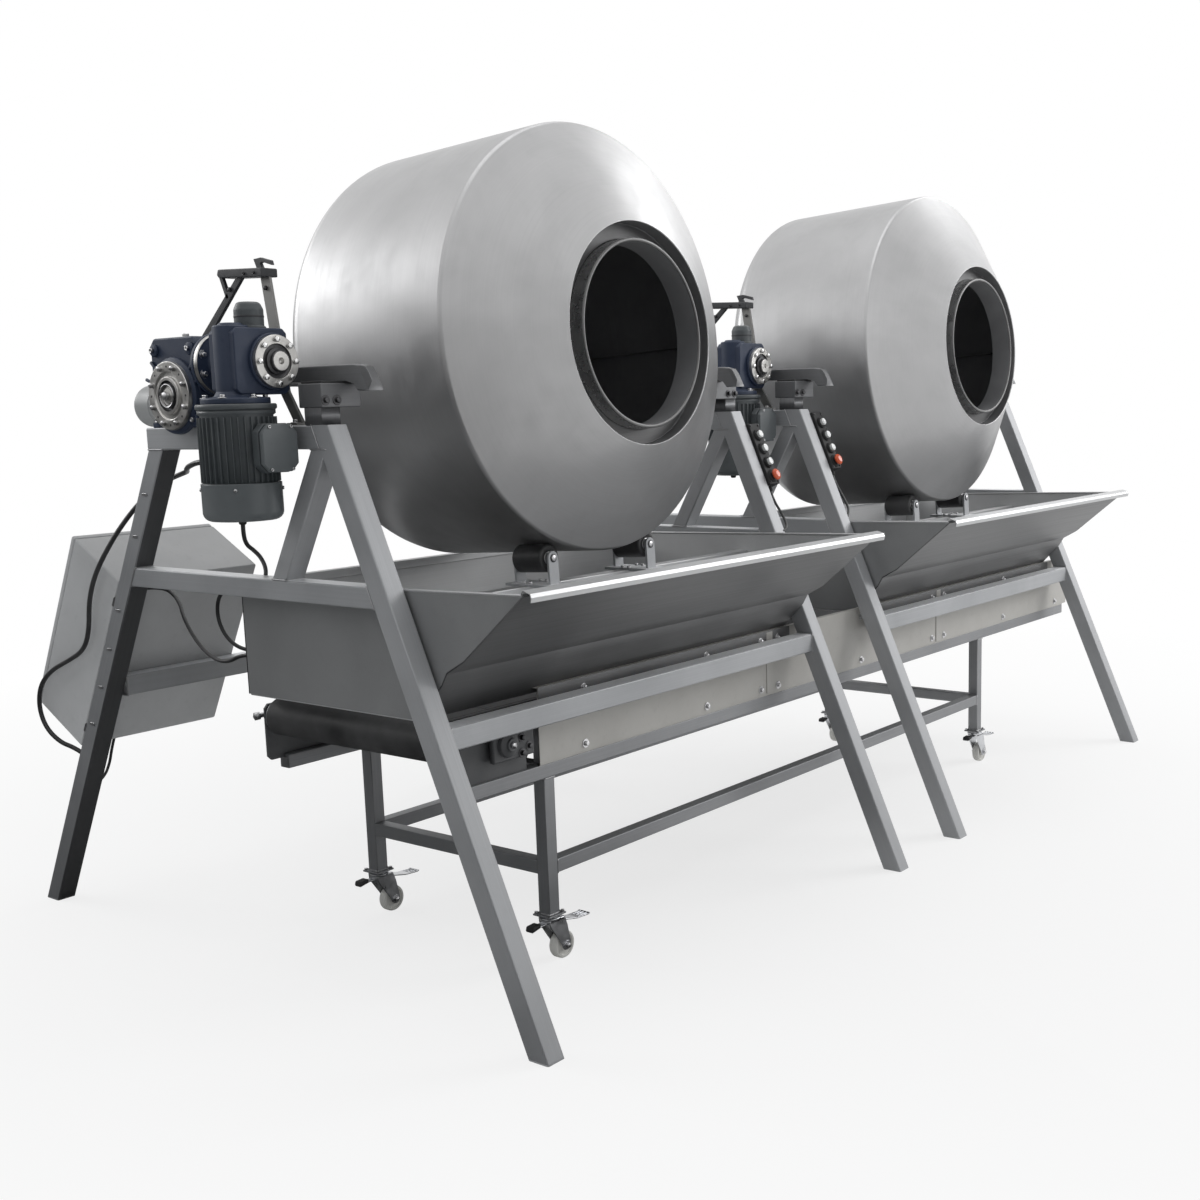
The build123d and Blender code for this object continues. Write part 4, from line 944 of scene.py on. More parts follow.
def make_pan(tag, left):
    centre = at(left + STAND_WIDTH / 2, RIM_Y, RIM_Z)
    slope = (PAN_RADIUS - MOUTH_RADIUS) / CONE_DEPTH
    lean_out = PAN_WALL * sqrt(1 + slope**2)
    inner_rim = PAN_RADIUS - PAN_WALL
    inner_rim_along = (inner_rim - MOUTH_RADIUS + lean_out) / slope - CONE_DEPTH
    edge = (MOUTH_RADIUS - 0.0015, -CONE_DEPTH + 0.003)
    outer = [
        edge, (MOUTH_RADIUS, -CONE_DEPTH), (PAN_RADIUS, 0), (PAN_RADIUS, PAN_LENGTH),
        (HUB_RADIUS, PAN_LENGTH)
    ]
    inner = [
        (0, PAN_LENGTH - PAN_WALL), (inner_rim, PAN_LENGTH - PAN_WALL), (inner_rim, inner_rim_along),
        (MOUTH_RADIUS, lean_out / slope - CONE_DEPTH), edge
    ]
    drum_steel = spun(f"drum steel {tag}", (0.51, 0.51, 0.515), 0.37, centre)
    shell = Shape()
    shell.lathe(centre, AXIS_DIR, outer, drum_steel, PAN_STEPS, [0, 0.001, 0.016, PAN_KNUCKLE, 0], 12)
    shell.lathe(centre, AXIS_DIR, [(HUB_RADIUS, PAN_LENGTH), (0, PAN_LENGTH)], drum_steel, PAN_STEPS)
    shell.lathe(
        centre, AXIS_DIR, inner, drum_inside, PAN_STEPS, [0, PAN_KNUCKLE - PAN_WALL, 0.012, 0.001, 0], 8
    )
    # Hub flange with its bolts, and the shaft
    hub_end = PAN_LENGTH + 0.020
    hub = [
        (HUB_RADIUS, PAN_LENGTH), (HUB_RADIUS, hub_end - 0.003), (HUB_RADIUS - 0.003, hub_end), (0, hub_end)
    ]
    shell.lathe(centre, AXIS_DIR, hub, drum_steel, 96)
    shell.bolts(
        centre + AXIS_DIR * hub_end, UP_DIR, ALONG_X, HUB_RADIUS - 0.030, 8, 0.5, AXIS_DIR, 0.024,
        bolt_steel, bolt_steel
    )
    shell.disc(centre, AXIS_DIR, SHAFT_RADIUS, PAN_LENGTH + 0.019, HOUSING_END - 0.008, bolt_steel, 48)
    # Lifting flights
    blade = box_outline((0, FLIGHT_HEIGHT), (0, PAN_LENGTH - PAN_KNUCKLE - 0.060), 0.012)
    for inward in spokes(-ALONG_X, -UP_DIR, FLIGHT_COUNT):
        root = centre + AXIS_DIR * 0.040 - inward * (inner_rim + 0.001)
        shell.prism(
            root, inward, AXIS_DIR, blade, -PAN_WALL / 2, PAN_WALL / 2, drum_inside, 0.001, AXIS_DIR, True
        )
    shell.finish(f"pan_{tag}", f"pan_{tag}", "pan_steel", f"pan_shell_{tag}", 28)

    # The groove behind the cone's edge, and the neck that stands up out of it with a rolled rim. The groove's
    # wall and floor are dark copies of the steel, painted shade in the recess, and the neck's wall is a
    # bright copy, a painted highlight.
    plate = COLLAR_RECESS - CONE_DEPTH
    side = MOUTH_RADIUS - 0.0016
    groove = GROOVE_DEPTH - CONE_DEPTH
    neck = NECK_RADIUS + 2 * ROLL
    crest = plate - 0.0145
    roll = half_turn(NECK_RADIUS + ROLL, crest, ROLL, -0.0045, 10)
    bore = [
        (NECK_RADIUS, crest - 0.0001), (NECK_RADIUS, plate + NECK_LENGTH),
        (NECK_RADIUS + NECK_WALL, plate + NECK_LENGTH), (NECK_RADIUS + NECK_WALL, groove + 0.002),
        (side, groove + 0.002), (side, groove - 0.001)
    ]
    collar = Shape()
    # Groove wall and floor in dark copies of the steel: painted shade in the recess.
    collar.lathe(centre, AXIS_DIR, [(side, -CONE_DEPTH + 0.0032), (side, groove)], shaded_collar_steel, COLLAR_STEPS)
    floor = [(side, groove - 0.004), (side, groove), (neck, groove), (neck, groove - 0.004)]
    collar.lathe(centre, AXIS_DIR, floor, shaded_groove_steel, COLLAR_STEPS, [0, 0.003, 0.003, 0], 3)
    # The neck's outer wall in a bright copy of the steel: a painted highlight.
    collar.lathe(centre, AXIS_DIR, [(neck, groove - 0.002), (neck, crest)], highlit_neck_steel, COLLAR_STEPS)
    collar.lathe(centre, AXIS_DIR, roll, rim_steel, COLLAR_STEPS)
    collar.lathe(centre, AXIS_DIR, bore, drum_inside, COLLAR_STEPS)
    collar.finish(f"mouth_{tag}", f"pan_{tag}", "pan_steel", f"mouth_collar_{tag}", 40)


# Cradles with the pan's bearing housing, and the pan's gearmotor behind it
def make_cradle(tag, left):
    rim = at(left + STAND_WIDTH / 2, RIM_Y, RIM_Z)
    low, high = around(ARM_MIDDLE_Z, ARM_HEIGHT / 2)
    side = ARM_INSET - ARM_WIDTH / 2
    arm = [
        (ARM_FRONT_Y + 0.060, low), (ARM_REAR_Y, low), (ARM_REAR_Y, high), (ARM_FRONT_Y + 0.040, high),
        (ARM_FRONT_Y + 0.012, high - 0.007), (ARM_FRONT_Y, high - 0.022),
        (ARM_FRONT_Y - 0.022, low - 0.026), (ARM_FRONT_Y + 0.016, low - 0.026),
        (ARM_FRONT_Y + 0.030, low - 0.008)
    ]
    lug = [
        (TILT_Y - 0.062, low), (TILT_Y + 0.062, low), (TILT_Y + 0.045, TILT_Z - 0.042),
        (TILT_Y - 0.045, TILT_Z - 0.042)
    ]
    steel = Shape()
    for plane, toward, reach in ((left, 1, JOURNAL_LEFT), (left + STAND_WIDTH, -1, JOURNAL_RIGHT)):
        middle = plane + toward * ARM_INSET
        out = -toward * ALONG_X
        steel.slab(middle, arm, ARM_WIDTH / 2, arm_steel, ALONG_Y, 0.004)
        steel.slab(middle, lug, ARM_WIDTH / 2 - 0.0006, arm_steel, ALONG_Y, 0.004)
        journal = at(plane + toward * side, TILT_Y, TILT_Z)
        steel.disc(journal, out, JOURNAL_RADIUS, -0.030, reach, cover_alloy, 48, 0.002)
        steel.disc(journal, out, 0.040, -0.002, 0.012, arm_steel, 48)
        steel.lathe(
            journal, out, [(0, reach + 0.0002), (0.008, reach + 0.0002), (0.006, reach + 0.0004)],
            dark_steel, 20
        )
        if toward > 0:
            steel.bolt(journal + out * reach, out, 0.019, bolt_steel, cover_alloy)
    # The cross beam's faces lie a little inside the arms' own
    beam_x = (left + side + 0.001, left + STAND_WIDTH - side - 0.001)
    steel.block(beam_x, around(BEAM_Y, 0.035), (low + 0.001, high + 0.040), arm_steel, TUBE_CORNER)
    housing = box_outline(around(0, HOUSING_HALF_WIDTH), around(0, HOUSING_HALF_HEIGHT), 0.025, 6)
    steel.prism(rim, ALONG_X, -UP_DIR, housing, HOUSING_START, HOUSING_END, iron_paint, 0.004, ALONG_X, True)
    cap = HOUSING_START - 0.010
    bore = SHAFT_RADIUS + 0.001
    ring = [(bore, cap + 0.008), (bore, cap), (0.076, cap), (0.080, cap + 0.004), (0.080, cap + 0.012)]
    steel.lathe(rim, AXIS_DIR, ring, cover_alloy, 64)
    steel.bolts(rim + AXIS_DIR * cap, UP_DIR, ALONG_X, 0.062, 6, 0, -AXIS_DIR, 0.013, bolt_steel)
    for dx, dz in grid(0.095, 0.070):
        spot = rim + AXIS_DIR * HOUSING_START + ALONG_X * dx + UP_DIR * dz
        steel.bolt(spot, -AXIS_DIR, 0.022, bolt_steel, bolt_steel)
    steel.finish(f"cradle_{tag}", f"cradle_{tag}", "frame_steel", f"tilt_cradle_{tag}")

    drive = Shape()
    start, end = HOUSING_END, HOUSING_END + PAN_GEAR_LENGTH
    flange = PAN_GEAR_RADIUS + 0.010
    make_motor_body(
        drive, rim + AXIS_DIR * end, AXIS_DIR, UP_DIR, PAN_MOTOR_RADIUS, PAN_MOTOR_LENGTH + 0.010, 0.080,
        0.006
    )
    case = [
        (0, start), (flange, start), (flange, start + 0.014), (PAN_GEAR_RADIUS, start + 0.014),
        (PAN_GEAR_RADIUS, end - 0.020), (PAN_MOTOR_RADIUS + 0.004, end), (0, end)
    ]
    drive.lathe(rim, AXIS_DIR, case, gear_paint, 72, [0, 0.002, 0.002, 0, 0.012, 0.003, 0])
    drive.bolts(
        rim + AXIS_DIR * (start + 0.014), UP_DIR, ALONG_X, PAN_GEAR_RADIUS + 0.002, 8, 0.5, AXIS_DIR, 0.010,
        bolt_steel
    )
    box_middle = rim + AXIS_DIR * (end + 0.040) - UP_DIR * (PAN_MOTOR_RADIUS + 0.010)
    terminal_box = box_outline(around(0, 0.050), around(0, 0.030), 0.006)
    drive.prism(box_middle, ALONG_X, -UP_DIR, terminal_box, 0, 0.100, motor_paint, 0.003, AXIS_DIR, True)
    drive.finish(f"pan_drive_{tag}", f"cradle_{tag}", "motor_paint", f"pan_gearmotor_{tag}")


def make_motor_body(shape, start, way, up, radius, length, cowl_length, cowl_extra, ribs=24, round_end=0.020):
    """A finned motor from its flange at start: end shields, fins, and the fan cowl with its grille."""
    side = way.cross(up)
    body = radius - 0.004
    body_end = length - cowl_length
    shield = radius + 0.002
    case = [(0, 0), (shield, 0), (shield, 0.012), (body, 0.016), (body, body_end), (0, body_end)]
    shape.lathe(start, way, case, motor_paint, 72)
    fin = [(0, -0.0018), (0.012, -0.0011), (0.012, 0.0011), (0, 0.0018)]
    for out in spokes(up, side, ribs, 0.5):
        shape.prism(
            start + out * (radius - 0.008), out, way.cross(out), fin, 0.020, body_end - 0.006, motor_paint,
            0.0006, way
        )
    cowl, lap = radius + cowl_extra, body_end - 0.004
    hood = [(radius - 0.010, lap), (cowl, lap), (cowl, length), (cowl * 0.45, length), (0, length)]
    shape.lathe(start, way, hood, cowl_paint, 72, [0, 0.002, round_end, 0, 0], 6)
    # Grille: rings of bars let into the cowl's end, and the cowl's screws
    for ring in (0.28, 0.40, 0.52, 0.64):
        inner, outer = cowl * ring, cowl * (ring + 0.05)
        low, high = length - 0.001, length + 0.0008
        shape.lathe(start, way, [(inner, low), (inner, high), (outer, high), (outer, low)], dark_steel)
    for out in spokes(up, side, 4, 0.5):
        shape.bolt(start + out * (cowl - 0.0005) + way * (body_end + 0.012), out, 0.008, bolt_steel)


# Tilt drives
def make_tilt_gearbox(tag, left):
    gear_x = left + GEAR_LINE
    half = GEAR_BODY[0] / 2
    front, rear = around(TILT_Y, GEAR_BODY[1] / 2)
    paint, bright, brake = Shape(), Shape(), Shape()
    paint.slab(
        gear_x, cut_outline((front, rear), (FRAME_HEIGHT, FRAME_HEIGHT + GEAR_BODY[2]), 0.016),
        half - 0.014, gear_paint, ALONG_X, 0.005, True
    )
    # Ribs and raised pads of the casting, on both flanks
    rib = [(0, -0.004), (0.045, -0.004), (0.045, 0.004), (0, 0.004)]
    for sign in (-1, 1):
        face = at(gear_x + sign * (half - 0.014), TILT_Y, TILT_Z)
        out = sign * ALONG_X
        paint.lathe(
            face, out, [(0.100, -0.003), (0.098, 0.008), (GEAR_COVER_RADIUS - 0.002, 0.013), (0, 0.013)],
            gear_paint, 64, [0, 0.003, 0.001, 0]
        )
        for dy, dz in ((-0.078, 0.118), (0.078, 0.118), (-0.078, -0.062), (0.078, -0.062)):
            pad = at(gear_x + sign * (half - 0.015), TILT_Y + dy, TILT_Z + dz)
            paint.disc(pad, out, 0.016, 0, 0.009, gear_paint, 24, 0.002)
            bright.socket_screw(pad + out * 0.009, out, 0.0065, bolt_steel, dark_steel)
        for angle in (0.35, 0.75, 2.39, 2.79):
            spoke = Vector((0, cos(angle), sin(angle)))
            paint.prism(
                face + spoke * 0.085, spoke, out.cross(spoke), rib, 0, 0.007, gear_paint, 0.002, spoke
            )
    # Worm housing across the top, its front flange and rear cap
    rear_cap = at(gear_x, rear, WORM_Z)
    paint.disc(rear_cap, -ALONG_Y, 0.052, 0, GEAR_BODY[1], gear_paint, 48, 0.004)
    paint.lathe(
        at(gear_x, front, WORM_Z), -ALONG_Y,
        [(0.050, -0.010), (0.056, 0.002), (0.080, 0.004), (0.080, 0.016), (0, 0.016)], gear_paint, 56,
        [0, 0.004, 0.003, 0.002, 0]
    )
    paint.disc(rear_cap, ALONG_Y, 0.045, 0, 0.012, gear_paint, 40, 0.003)
    bright.bolts(rear_cap + ALONG_Y * 0.012, ALONG_X, ALONG_Z, 0.034, 6, 0, ALONG_Y, 0.009, bolt_steel)
    # Rear cowl of the brake, in light grey
    start = at(gear_x, rear, FRAME_HEIGHT + 0.058)
    brake.lathe(
        start, ALONG_Y, [(0.050, 0), (0.056, 0.004), (0.056, 0.110), (0.020, 0.110), (0, 0.110)], cowl_grey,
        56, [0, 0.003, 0.020, 0, 0], 6
    )
    brake.lathe(
        start, ALONG_Y, [(0.0558, 0.030), (0.0574, 0.031), (0.0574, 0.037), (0.0558, 0.038)], cowl_grey, 56
    )
    screw_shift = 0.6 / pi
    for out in spokes(ALONG_X, ALONG_Z, 3, screw_shift):
        brake.bolt(start + ALONG_Y * 0.020 + out * 0.0556, out, 0.008, bolt_steel)
    brake.finish(f"brake_cowl_{tag}", "base", "motor_paint")
    # Machined covers with eight screws round a hollow hub
    rim = GEAR_COVER_RADIUS
    cover = [
        (rim, -0.002), (rim, 0.011), (rim - 0.026, 0.011), (rim - 0.028, 0.007), (0.050, 0.007),
        (0.048, 0.014), (0.040, 0.014)
    ]
    bore = JOURNAL_RADIUS + 0.0006
    for sign in (-1, 1):
        out = sign * ALONG_X
        start = at(gear_x + sign * (half - 0.001), TILT_Y, TILT_Z)
        bright.lathe(start, out, cover, cover_alloy, 72, [0, 0.002, 0.001, 0.001, 0.001, 0.0015, 0], 3)
        bright.lathe(start, out, [(0.040, 0.014), (0.039, 0.005), (0.031, 0.005)], dark_steel, 56)
        bright.lathe(
            start, out, [(0.0312, 0.004), (0.0312, 0.016), (0.030, 0.0175), (bore, 0.0175), (bore, 0.004)],
            bolt_steel, 56
        )
        bright.bolts(start + out * 0.011, ALONG_Y, ALONG_Z, rim - 0.013, 8, 0.5, out, 0.012, bolt_steel)
        for way in spokes(ALONG_Y, ALONG_Z, 8):
            bright.lathe(
                start + way * (rim - 0.013) + out * 0.0111, out,
                [(0, 0), (0.0032, 0), (0.0030, 0.0003), (0, 0.0003)], dark_steel, 12
            )
    # Feet with bolts down into the A-frame's top bar, and the level plug
    foot = box_outline(around(0, 0.018), around(0, 0.016), 0.005)
    for dx in (-0.030, 0.030):
        for y in (front - 0.014, rear + 0.014):
            place = at(gear_x + dx, y, FRAME_HEIGHT)
            paint.prism(place, ALONG_X, ALONG_Y, foot, 0, 0.014, gear_paint, 0.002, ALONG_Z, True)
            bright.bolt(place + ALONG_Z * 0.014, ALONG_Z, 0.015, bolt_steel, bolt_steel)
    bright.bolt(
        at(gear_x, TILT_Y + 0.020, FRAME_HEIGHT + GEAR_BODY[2]), ALONG_Z, 0.016, bolt_steel, cover_alloy
    )
    paint.finish(f"tilt_gear_{tag}", "base", "gear_paint", f"tilt_gearbox_{tag}")
    bright.finish(f"tilt_gear_covers_{tag}", "base", "castor_zinc")


def make_first_gearbox(tag, left):
    gear_x = left + GEAR_LINE
    worm_x = gear_x - WORM_OFFSET
    front, rear = around(FIRST_Y, FIRST_BODY[1] / 2)
    top = FIRST_BOTTOM_Z + FIRST_BODY[2]
    flange_face = TILT_Y - GEAR_BODY[1] / 2 - 0.016
    paint, bright, cowl = Shape(), Shape(), Shape()
    case = cut_outline((worm_x - 0.030 - gear_x, FIRST_BODY[0] / 2), (FIRST_BOTTOM_Z + 0.008, top), 0.012)
    paint.front(gear_x, rear - 0.012, case, 0, FIRST_BODY[1] - 0.024, gear_paint, 0.004)
    paint.disc(
        at(worm_x, FIRST_Y, FIRST_BOTTOM_Z), ALONG_Z, 0.044, 0, FIRST_BODY[2] + 0.006, gear_paint, 48, 0.004
    )
    start = at(gear_x, front, WORM_Z)
    paint.disc(start, ALONG_Y, 0.070, 0.002, 0.020, gear_paint, 56, 0.003)
    # Cast ribs all round the worm wheel's case
    rib = [(0, 0), (0.020, 0.004), (0.020, 0.010), (0, 0.012)]
    for spoke in spokes(ALONG_X, ALONG_Z, 10, 0.25):
        paint.prism(
            start + ALONG_Y * 0.012 + spoke * 0.058, spoke, ALONG_Y, rib, -0.003, 0.003, gear_paint, 0.001,
            spoke
        )
    # Quill and its coupling flange against the tilt gearbox
    quill = flange_face - rear
    quill_line = [
        (0, 0), (0.056, 0), (0.046, 0.016), (0.046, quill - 0.010), (0.070, quill - 0.002),
        (0.076, quill - 0.002), (0.076, quill + 0.012), (0, quill + 0.012)
    ]
    paint.lathe(
        at(gear_x, rear - 0.012, WORM_Z), ALONG_Y, quill_line, gear_paint, 56,
        [0, 0.004, 0.004, 0.006, 0, 0.002, 0.002, 0]
    )
    coupling = at(gear_x, flange_face, WORM_Z)
    bright.lathe(
        coupling, -ALONG_Y, [(0.0768, -0.001), (0.0785, 0.001), (0.0785, 0.012), (0.0768, 0.014)],
        cover_alloy, 64
    )
    bright.bolts(
        coupling - ALONG_Y * 0.014, ALONG_X, ALONG_Z, 0.062, 8, 0.5, -ALONG_Y, 0.012, bolt_steel, bolt_steel
    )
    # Front cover: machined ring, eight screws, dark recess and hub
    rim = FIRST_COVER_RADIUS
    bright.lathe(
        start, -ALONG_Y, [(rim, -0.002), (rim, 0.010), (0.043, 0.010), (0.042, 0.004), (0.034, 0.004)],
        cover_alloy, 64, [0, 0.002, 0.001, 0.001, 0], 3
    )
    bright.lathe(start, -ALONG_Y, [(0.0425, 0.0042), (0.034, 0.0042), (0.033, 0.0045)], dark_steel)
    bright.lathe(
        start, -ALONG_Y, [(0.033, 0), (0.033, 0.012), (0.026, 0.014), (0.026, 0.024), (0.010, 0.024)],
        dark_steel, 48, [0, 0.001, 0.001, 0.002, 0], 3
    )
    bright.lathe(
        start, -ALONG_Y, [(0.0235, 0.020), (0.0235, 0.0255), (0.008, 0.0255), (0.007, 0.018), (0, 0.018)],
        cover_alloy, 40, [0, 0.001, 0.001, 0, 0], 3
    )
    bright.bolts(start - ALONG_Y * 0.010, ALONG_X, ALONG_Z, rim - 0.011, 8, 0, -ALONG_Y, 0.013, button_metal)
    # Motor flange below, the dark cowl and the worm's end cap above
    flange = [(0.044, -0.014), (0.052, -0.002), (0.084, 0.002), (0.084, 0.016), (0, 0.016)]
    paint.lathe(
        at(worm_x, FIRST_Y, FIRST_BOTTOM_Z + 0.002), -ALONG_Z, flange, gear_paint, 64,
        [0, 0.004, 0.004, 0.002, 0]
    )
    bright.bolts(
        at(worm_x, FIRST_Y, FIRST_BOTTOM_Z), ALONG_X, ALONG_Y, 0.072, 6, 0.5, ALONG_Z, 0.012, bolt_steel,
        bolt_steel
    )
    dome = at(worm_x + 0.057, FIRST_Y, top)
    cowl.lathe(
        dome, ALONG_Z,
        [(0.040, -0.004), (0.040, 0.004), (0.036, 0.006), (0.036, 0.046), (0.028, 0.064), (0, 0.066)],
        motor_paint, 56, [0, 0.002, 0.002, 0.014, 0.012, 0], 6
    )
    cowl.lathe(
        dome, ALONG_Z, [(0.0355, 0.026), (0.0368, 0.027), (0.0368, 0.031), (0.0355, 0.032)], bracket_paint,
        56
    )
    cowl.disc(at(worm_x, FIRST_Y, top), ALONG_Z, 0.030, 0, 0.012, gear_paint, 40, 0.004)
    cowl.finish(f"worm_cowl_{tag}", "base", "bracket_paint")
    paint.finish(f"first_gear_{tag}", "base", "gear_paint", f"first_gearbox_{tag}")
    bright.finish(f"first_gear_covers_{tag}", "base", "castor_zinc")


def make_tilt_motor(tag, left):
    motor_x = left + GEAR_LINE - WORM_OFFSET
    top = FIRST_BOTTOM_Z - 0.014
    motor = Shape()
    length = MOTOR_LENGTH - 0.008 + COWL_LENGTH
    start = at(motor_x, FIRST_Y, top)
    motor.disc(start, -ALONG_Z, COWL_RADIUS, 0, 0.014, motor_paint, 72, 0.003)
    make_motor_body(
        motor, start - ALONG_Z * 0.012, -ALONG_Z, -ALONG_Y, MOTOR_RADIUS, length - 0.012, COWL_LENGTH,
        COWL_RADIUS - MOTOR_RADIUS, 36, 0.022
    )
    # Terminal box: a low plinth, the box and its lid with the corners cut
    x, z = (-0.030, 0.078), (top - 0.169, top - 0.049)
    back = FIRST_Y - MOTOR_RADIUS + 0.020
    for inset, cut, low, high, material, bevel in (
        (0.012, 0.010, 0, 0.025, motor_paint, 0.002), (0, 0.020, 0.022, 0.046, motor_paint, 0.0025),
        (0.002, 0.020, 0.0475, 0.062, cowl_paint, 0.003)
    ):
        outline = cut_outline((x[0] + inset, x[1] - inset), (z[0] + inset, z[1] - inset), cut)
        motor.front(motor_x, back, outline, low, high, material, bevel)
    for dz in (z[0] + 0.008, z[1] - 0.008):
        for dx in (x[0] + 0.022, x[1] - 0.022):
            motor.socket_screw(at(motor_x + dx, back - 0.062, dz), -ALONG_Y, 0.004, bolt_steel, dark_steel)
    # Glands of the two cables, and the lifting eye
    make_gland(motor, at(motor_x, FIRST_Y + MOTOR_RADIUS - 0.006, SUPPLY_HEIGHT), ALONG_Y, 0.011, 0.026)
    make_gland(motor, at(motor_x, FIRST_Y + 0.008, top - length + 0.002), -ALONG_Z, 0.011, 0.014)
    eye = at(motor_x + MOTOR_RADIUS - 0.004, FIRST_Y + 0.030, top - 0.070)
    motor.lathe(
        eye, ALONG_X, [(0, 0), (0.010, 0), (0.010, 0.006), (0.006, 0.010), (0, 0.010)], motor_paint, 24
    )
    motor.finish(f"motor_{tag}", "base", "motor_paint", f"tilt_motor_{tag}")


def make_gland(shape, place, way, radius, length):
    """A cable gland: hexagon base, ribbed nut and tapering lip."""
    base, nut = radius * 1.12, radius * 0.86
    shape.lathe(
        place, way, [(0, -0.002), (base, -0.002), (base, length * 0.28), (0, length * 0.28)], box_plastic, 6
    )
    profile = [
        (0, length * 0.25), (nut, length * 0.25), (radius * 0.92, length * 0.5), (nut, length * 0.8),
        (radius * 0.62, length), (0, length)
    ]
    shape.lathe(place, way, profile, box_plastic, 24, [0, 0.0008, 0.0008, 0.001, 0.0008, 0], 3)


def make_bearing(tag, left):
    plane = left + STAND_WIDTH
    iron = Shape()
    foot, bore = FRAME_HEIGHT + 0.020, JOURNAL_RADIUS + 0.001
    outline = [
        (TILT_Y - 0.105, FRAME_HEIGHT), (TILT_Y + 0.105, FRAME_HEIGHT), (TILT_Y + 0.105, foot),
        (TILT_Y + 0.060, foot + 0.006)
    ]
    outline += half_turn(TILT_Y, TILT_Z, 0.058, 0.058, 12)
    outline += [(TILT_Y - 0.060, foot + 0.006), (TILT_Y - 0.105, foot)]
    iron.slab(plane, outline, 0.026, iron_paint, ALONG_X, 0.003, True)
    for sign in (-1, 1):
        iron.lathe(
            at(plane + sign * 0.025, TILT_Y, TILT_Z), sign * ALONG_X,
            [(0.046, -0.001), (0.046, 0.004), (0.044, 0.005), (bore, 0.005), (bore, -0.001)], cover_alloy
        )
    for dy in (-0.084, 0.084):
        iron.bolt(at(plane, TILT_Y + dy, foot + 0.002), ALONG_Z, 0.022, bolt_steel, bolt_steel)
    nipple = [(0.005, 0), (0.005, 0.004), (0.003, 0.006), (0.003, 0.010), (0.0035, 0.012), (0, 0.013)]
    iron.lathe(at(plane, TILT_Y, TILT_Z + 0.057), ALONG_Z, nipple, bolt_steel, 12)
    iron.finish(f"bearing_{tag}", "base", "bearing_iron", f"shaft_bearing_{tag}")


def make_bracket(tag, left):
    x = left + 0.010
    plate = FRAME_HEIGHT + 0.375
    gear_top = FRAME_HEIGHT + GEAR_BODY[2]
    bend = FRAME_HEIGHT + 0.085
    dark, pale = Shape(), Shape()
    # Pale strap bent out of flat bar, its foot bolted to the top bar
    line = [
        (0.786, FRAME_HEIGHT), (0.822, FRAME_HEIGHT), (0.876, bend), (0.922, plate), (0.886, plate),
        (0.840, bend)
    ]
    pale.side(x, line, 0, 0.008, strap_steel, 0.0012)
    pale.plate(around(x, 0.022), (0.788, 0.828), (FRAME_HEIGHT, FRAME_HEIGHT + 0.006), strap_steel)
    pale.bolt(at(x - 0.010, 0.808, FRAME_HEIGHT + 0.006), ALONG_Z, 0.012, bolt_steel, bolt_steel)
    pale.finish(f"bracket_strap_{tag}", "base", "bracket_paint")
    # Switch housing on the top, its struts and its lever
    housing = [
        (0.884, plate - 0.004), (1.062, plate + 0.004), (1.070, plate + 0.012), (1.064, plate + 0.026),
        (0.884, plate + 0.018)
    ]
    strut = [(0.978, plate), (1.006, plate), (1.176, gear_top), (1.140, gear_top)]
    tie = [(1.062, plate + 0.008), (1.074, plate + 0.006), (1.050, plate - 0.052), (1.038, plate - 0.046)]
    lever = [
        (0.928, plate + 0.018), (0.940, plate + 0.044), (0.912, plate + 0.046), (0.872, plate + 0.036),
        (0.868, plate + 0.024), (0.904, plate + 0.034), (0.914, plate + 0.032), (0.906, plate + 0.018)
    ]
    for outline, low, high, bevel in (
        (housing, -0.024, 0.026, 0.003), (strut, -0.014, -0.004, 0.0012), (tie, -0.014, -0.004, 0.0012),
        (lever, -0.004, 0.006, 0.0012)
    ):
        dark.side(x, outline, low, high, bracket_paint, bevel)
    for y in (0.915, 0.955):
        dark.socket_screw(at(x - 0.024, y, plate + 0.008), -ALONG_X, 0.004, dark_steel, bracket_paint)
    dark.bolt(at(x, 0.900, plate - 0.030), -ALONG_X, 0.010, dark_steel)
    dark.bolt(at(x - 0.014, 1.030, plate - 0.026), -ALONG_X, 0.010, dark_steel)
    dark.finish(f"bracket_{tag}", "base", "bracket_paint", f"switch_bracket_{tag}")


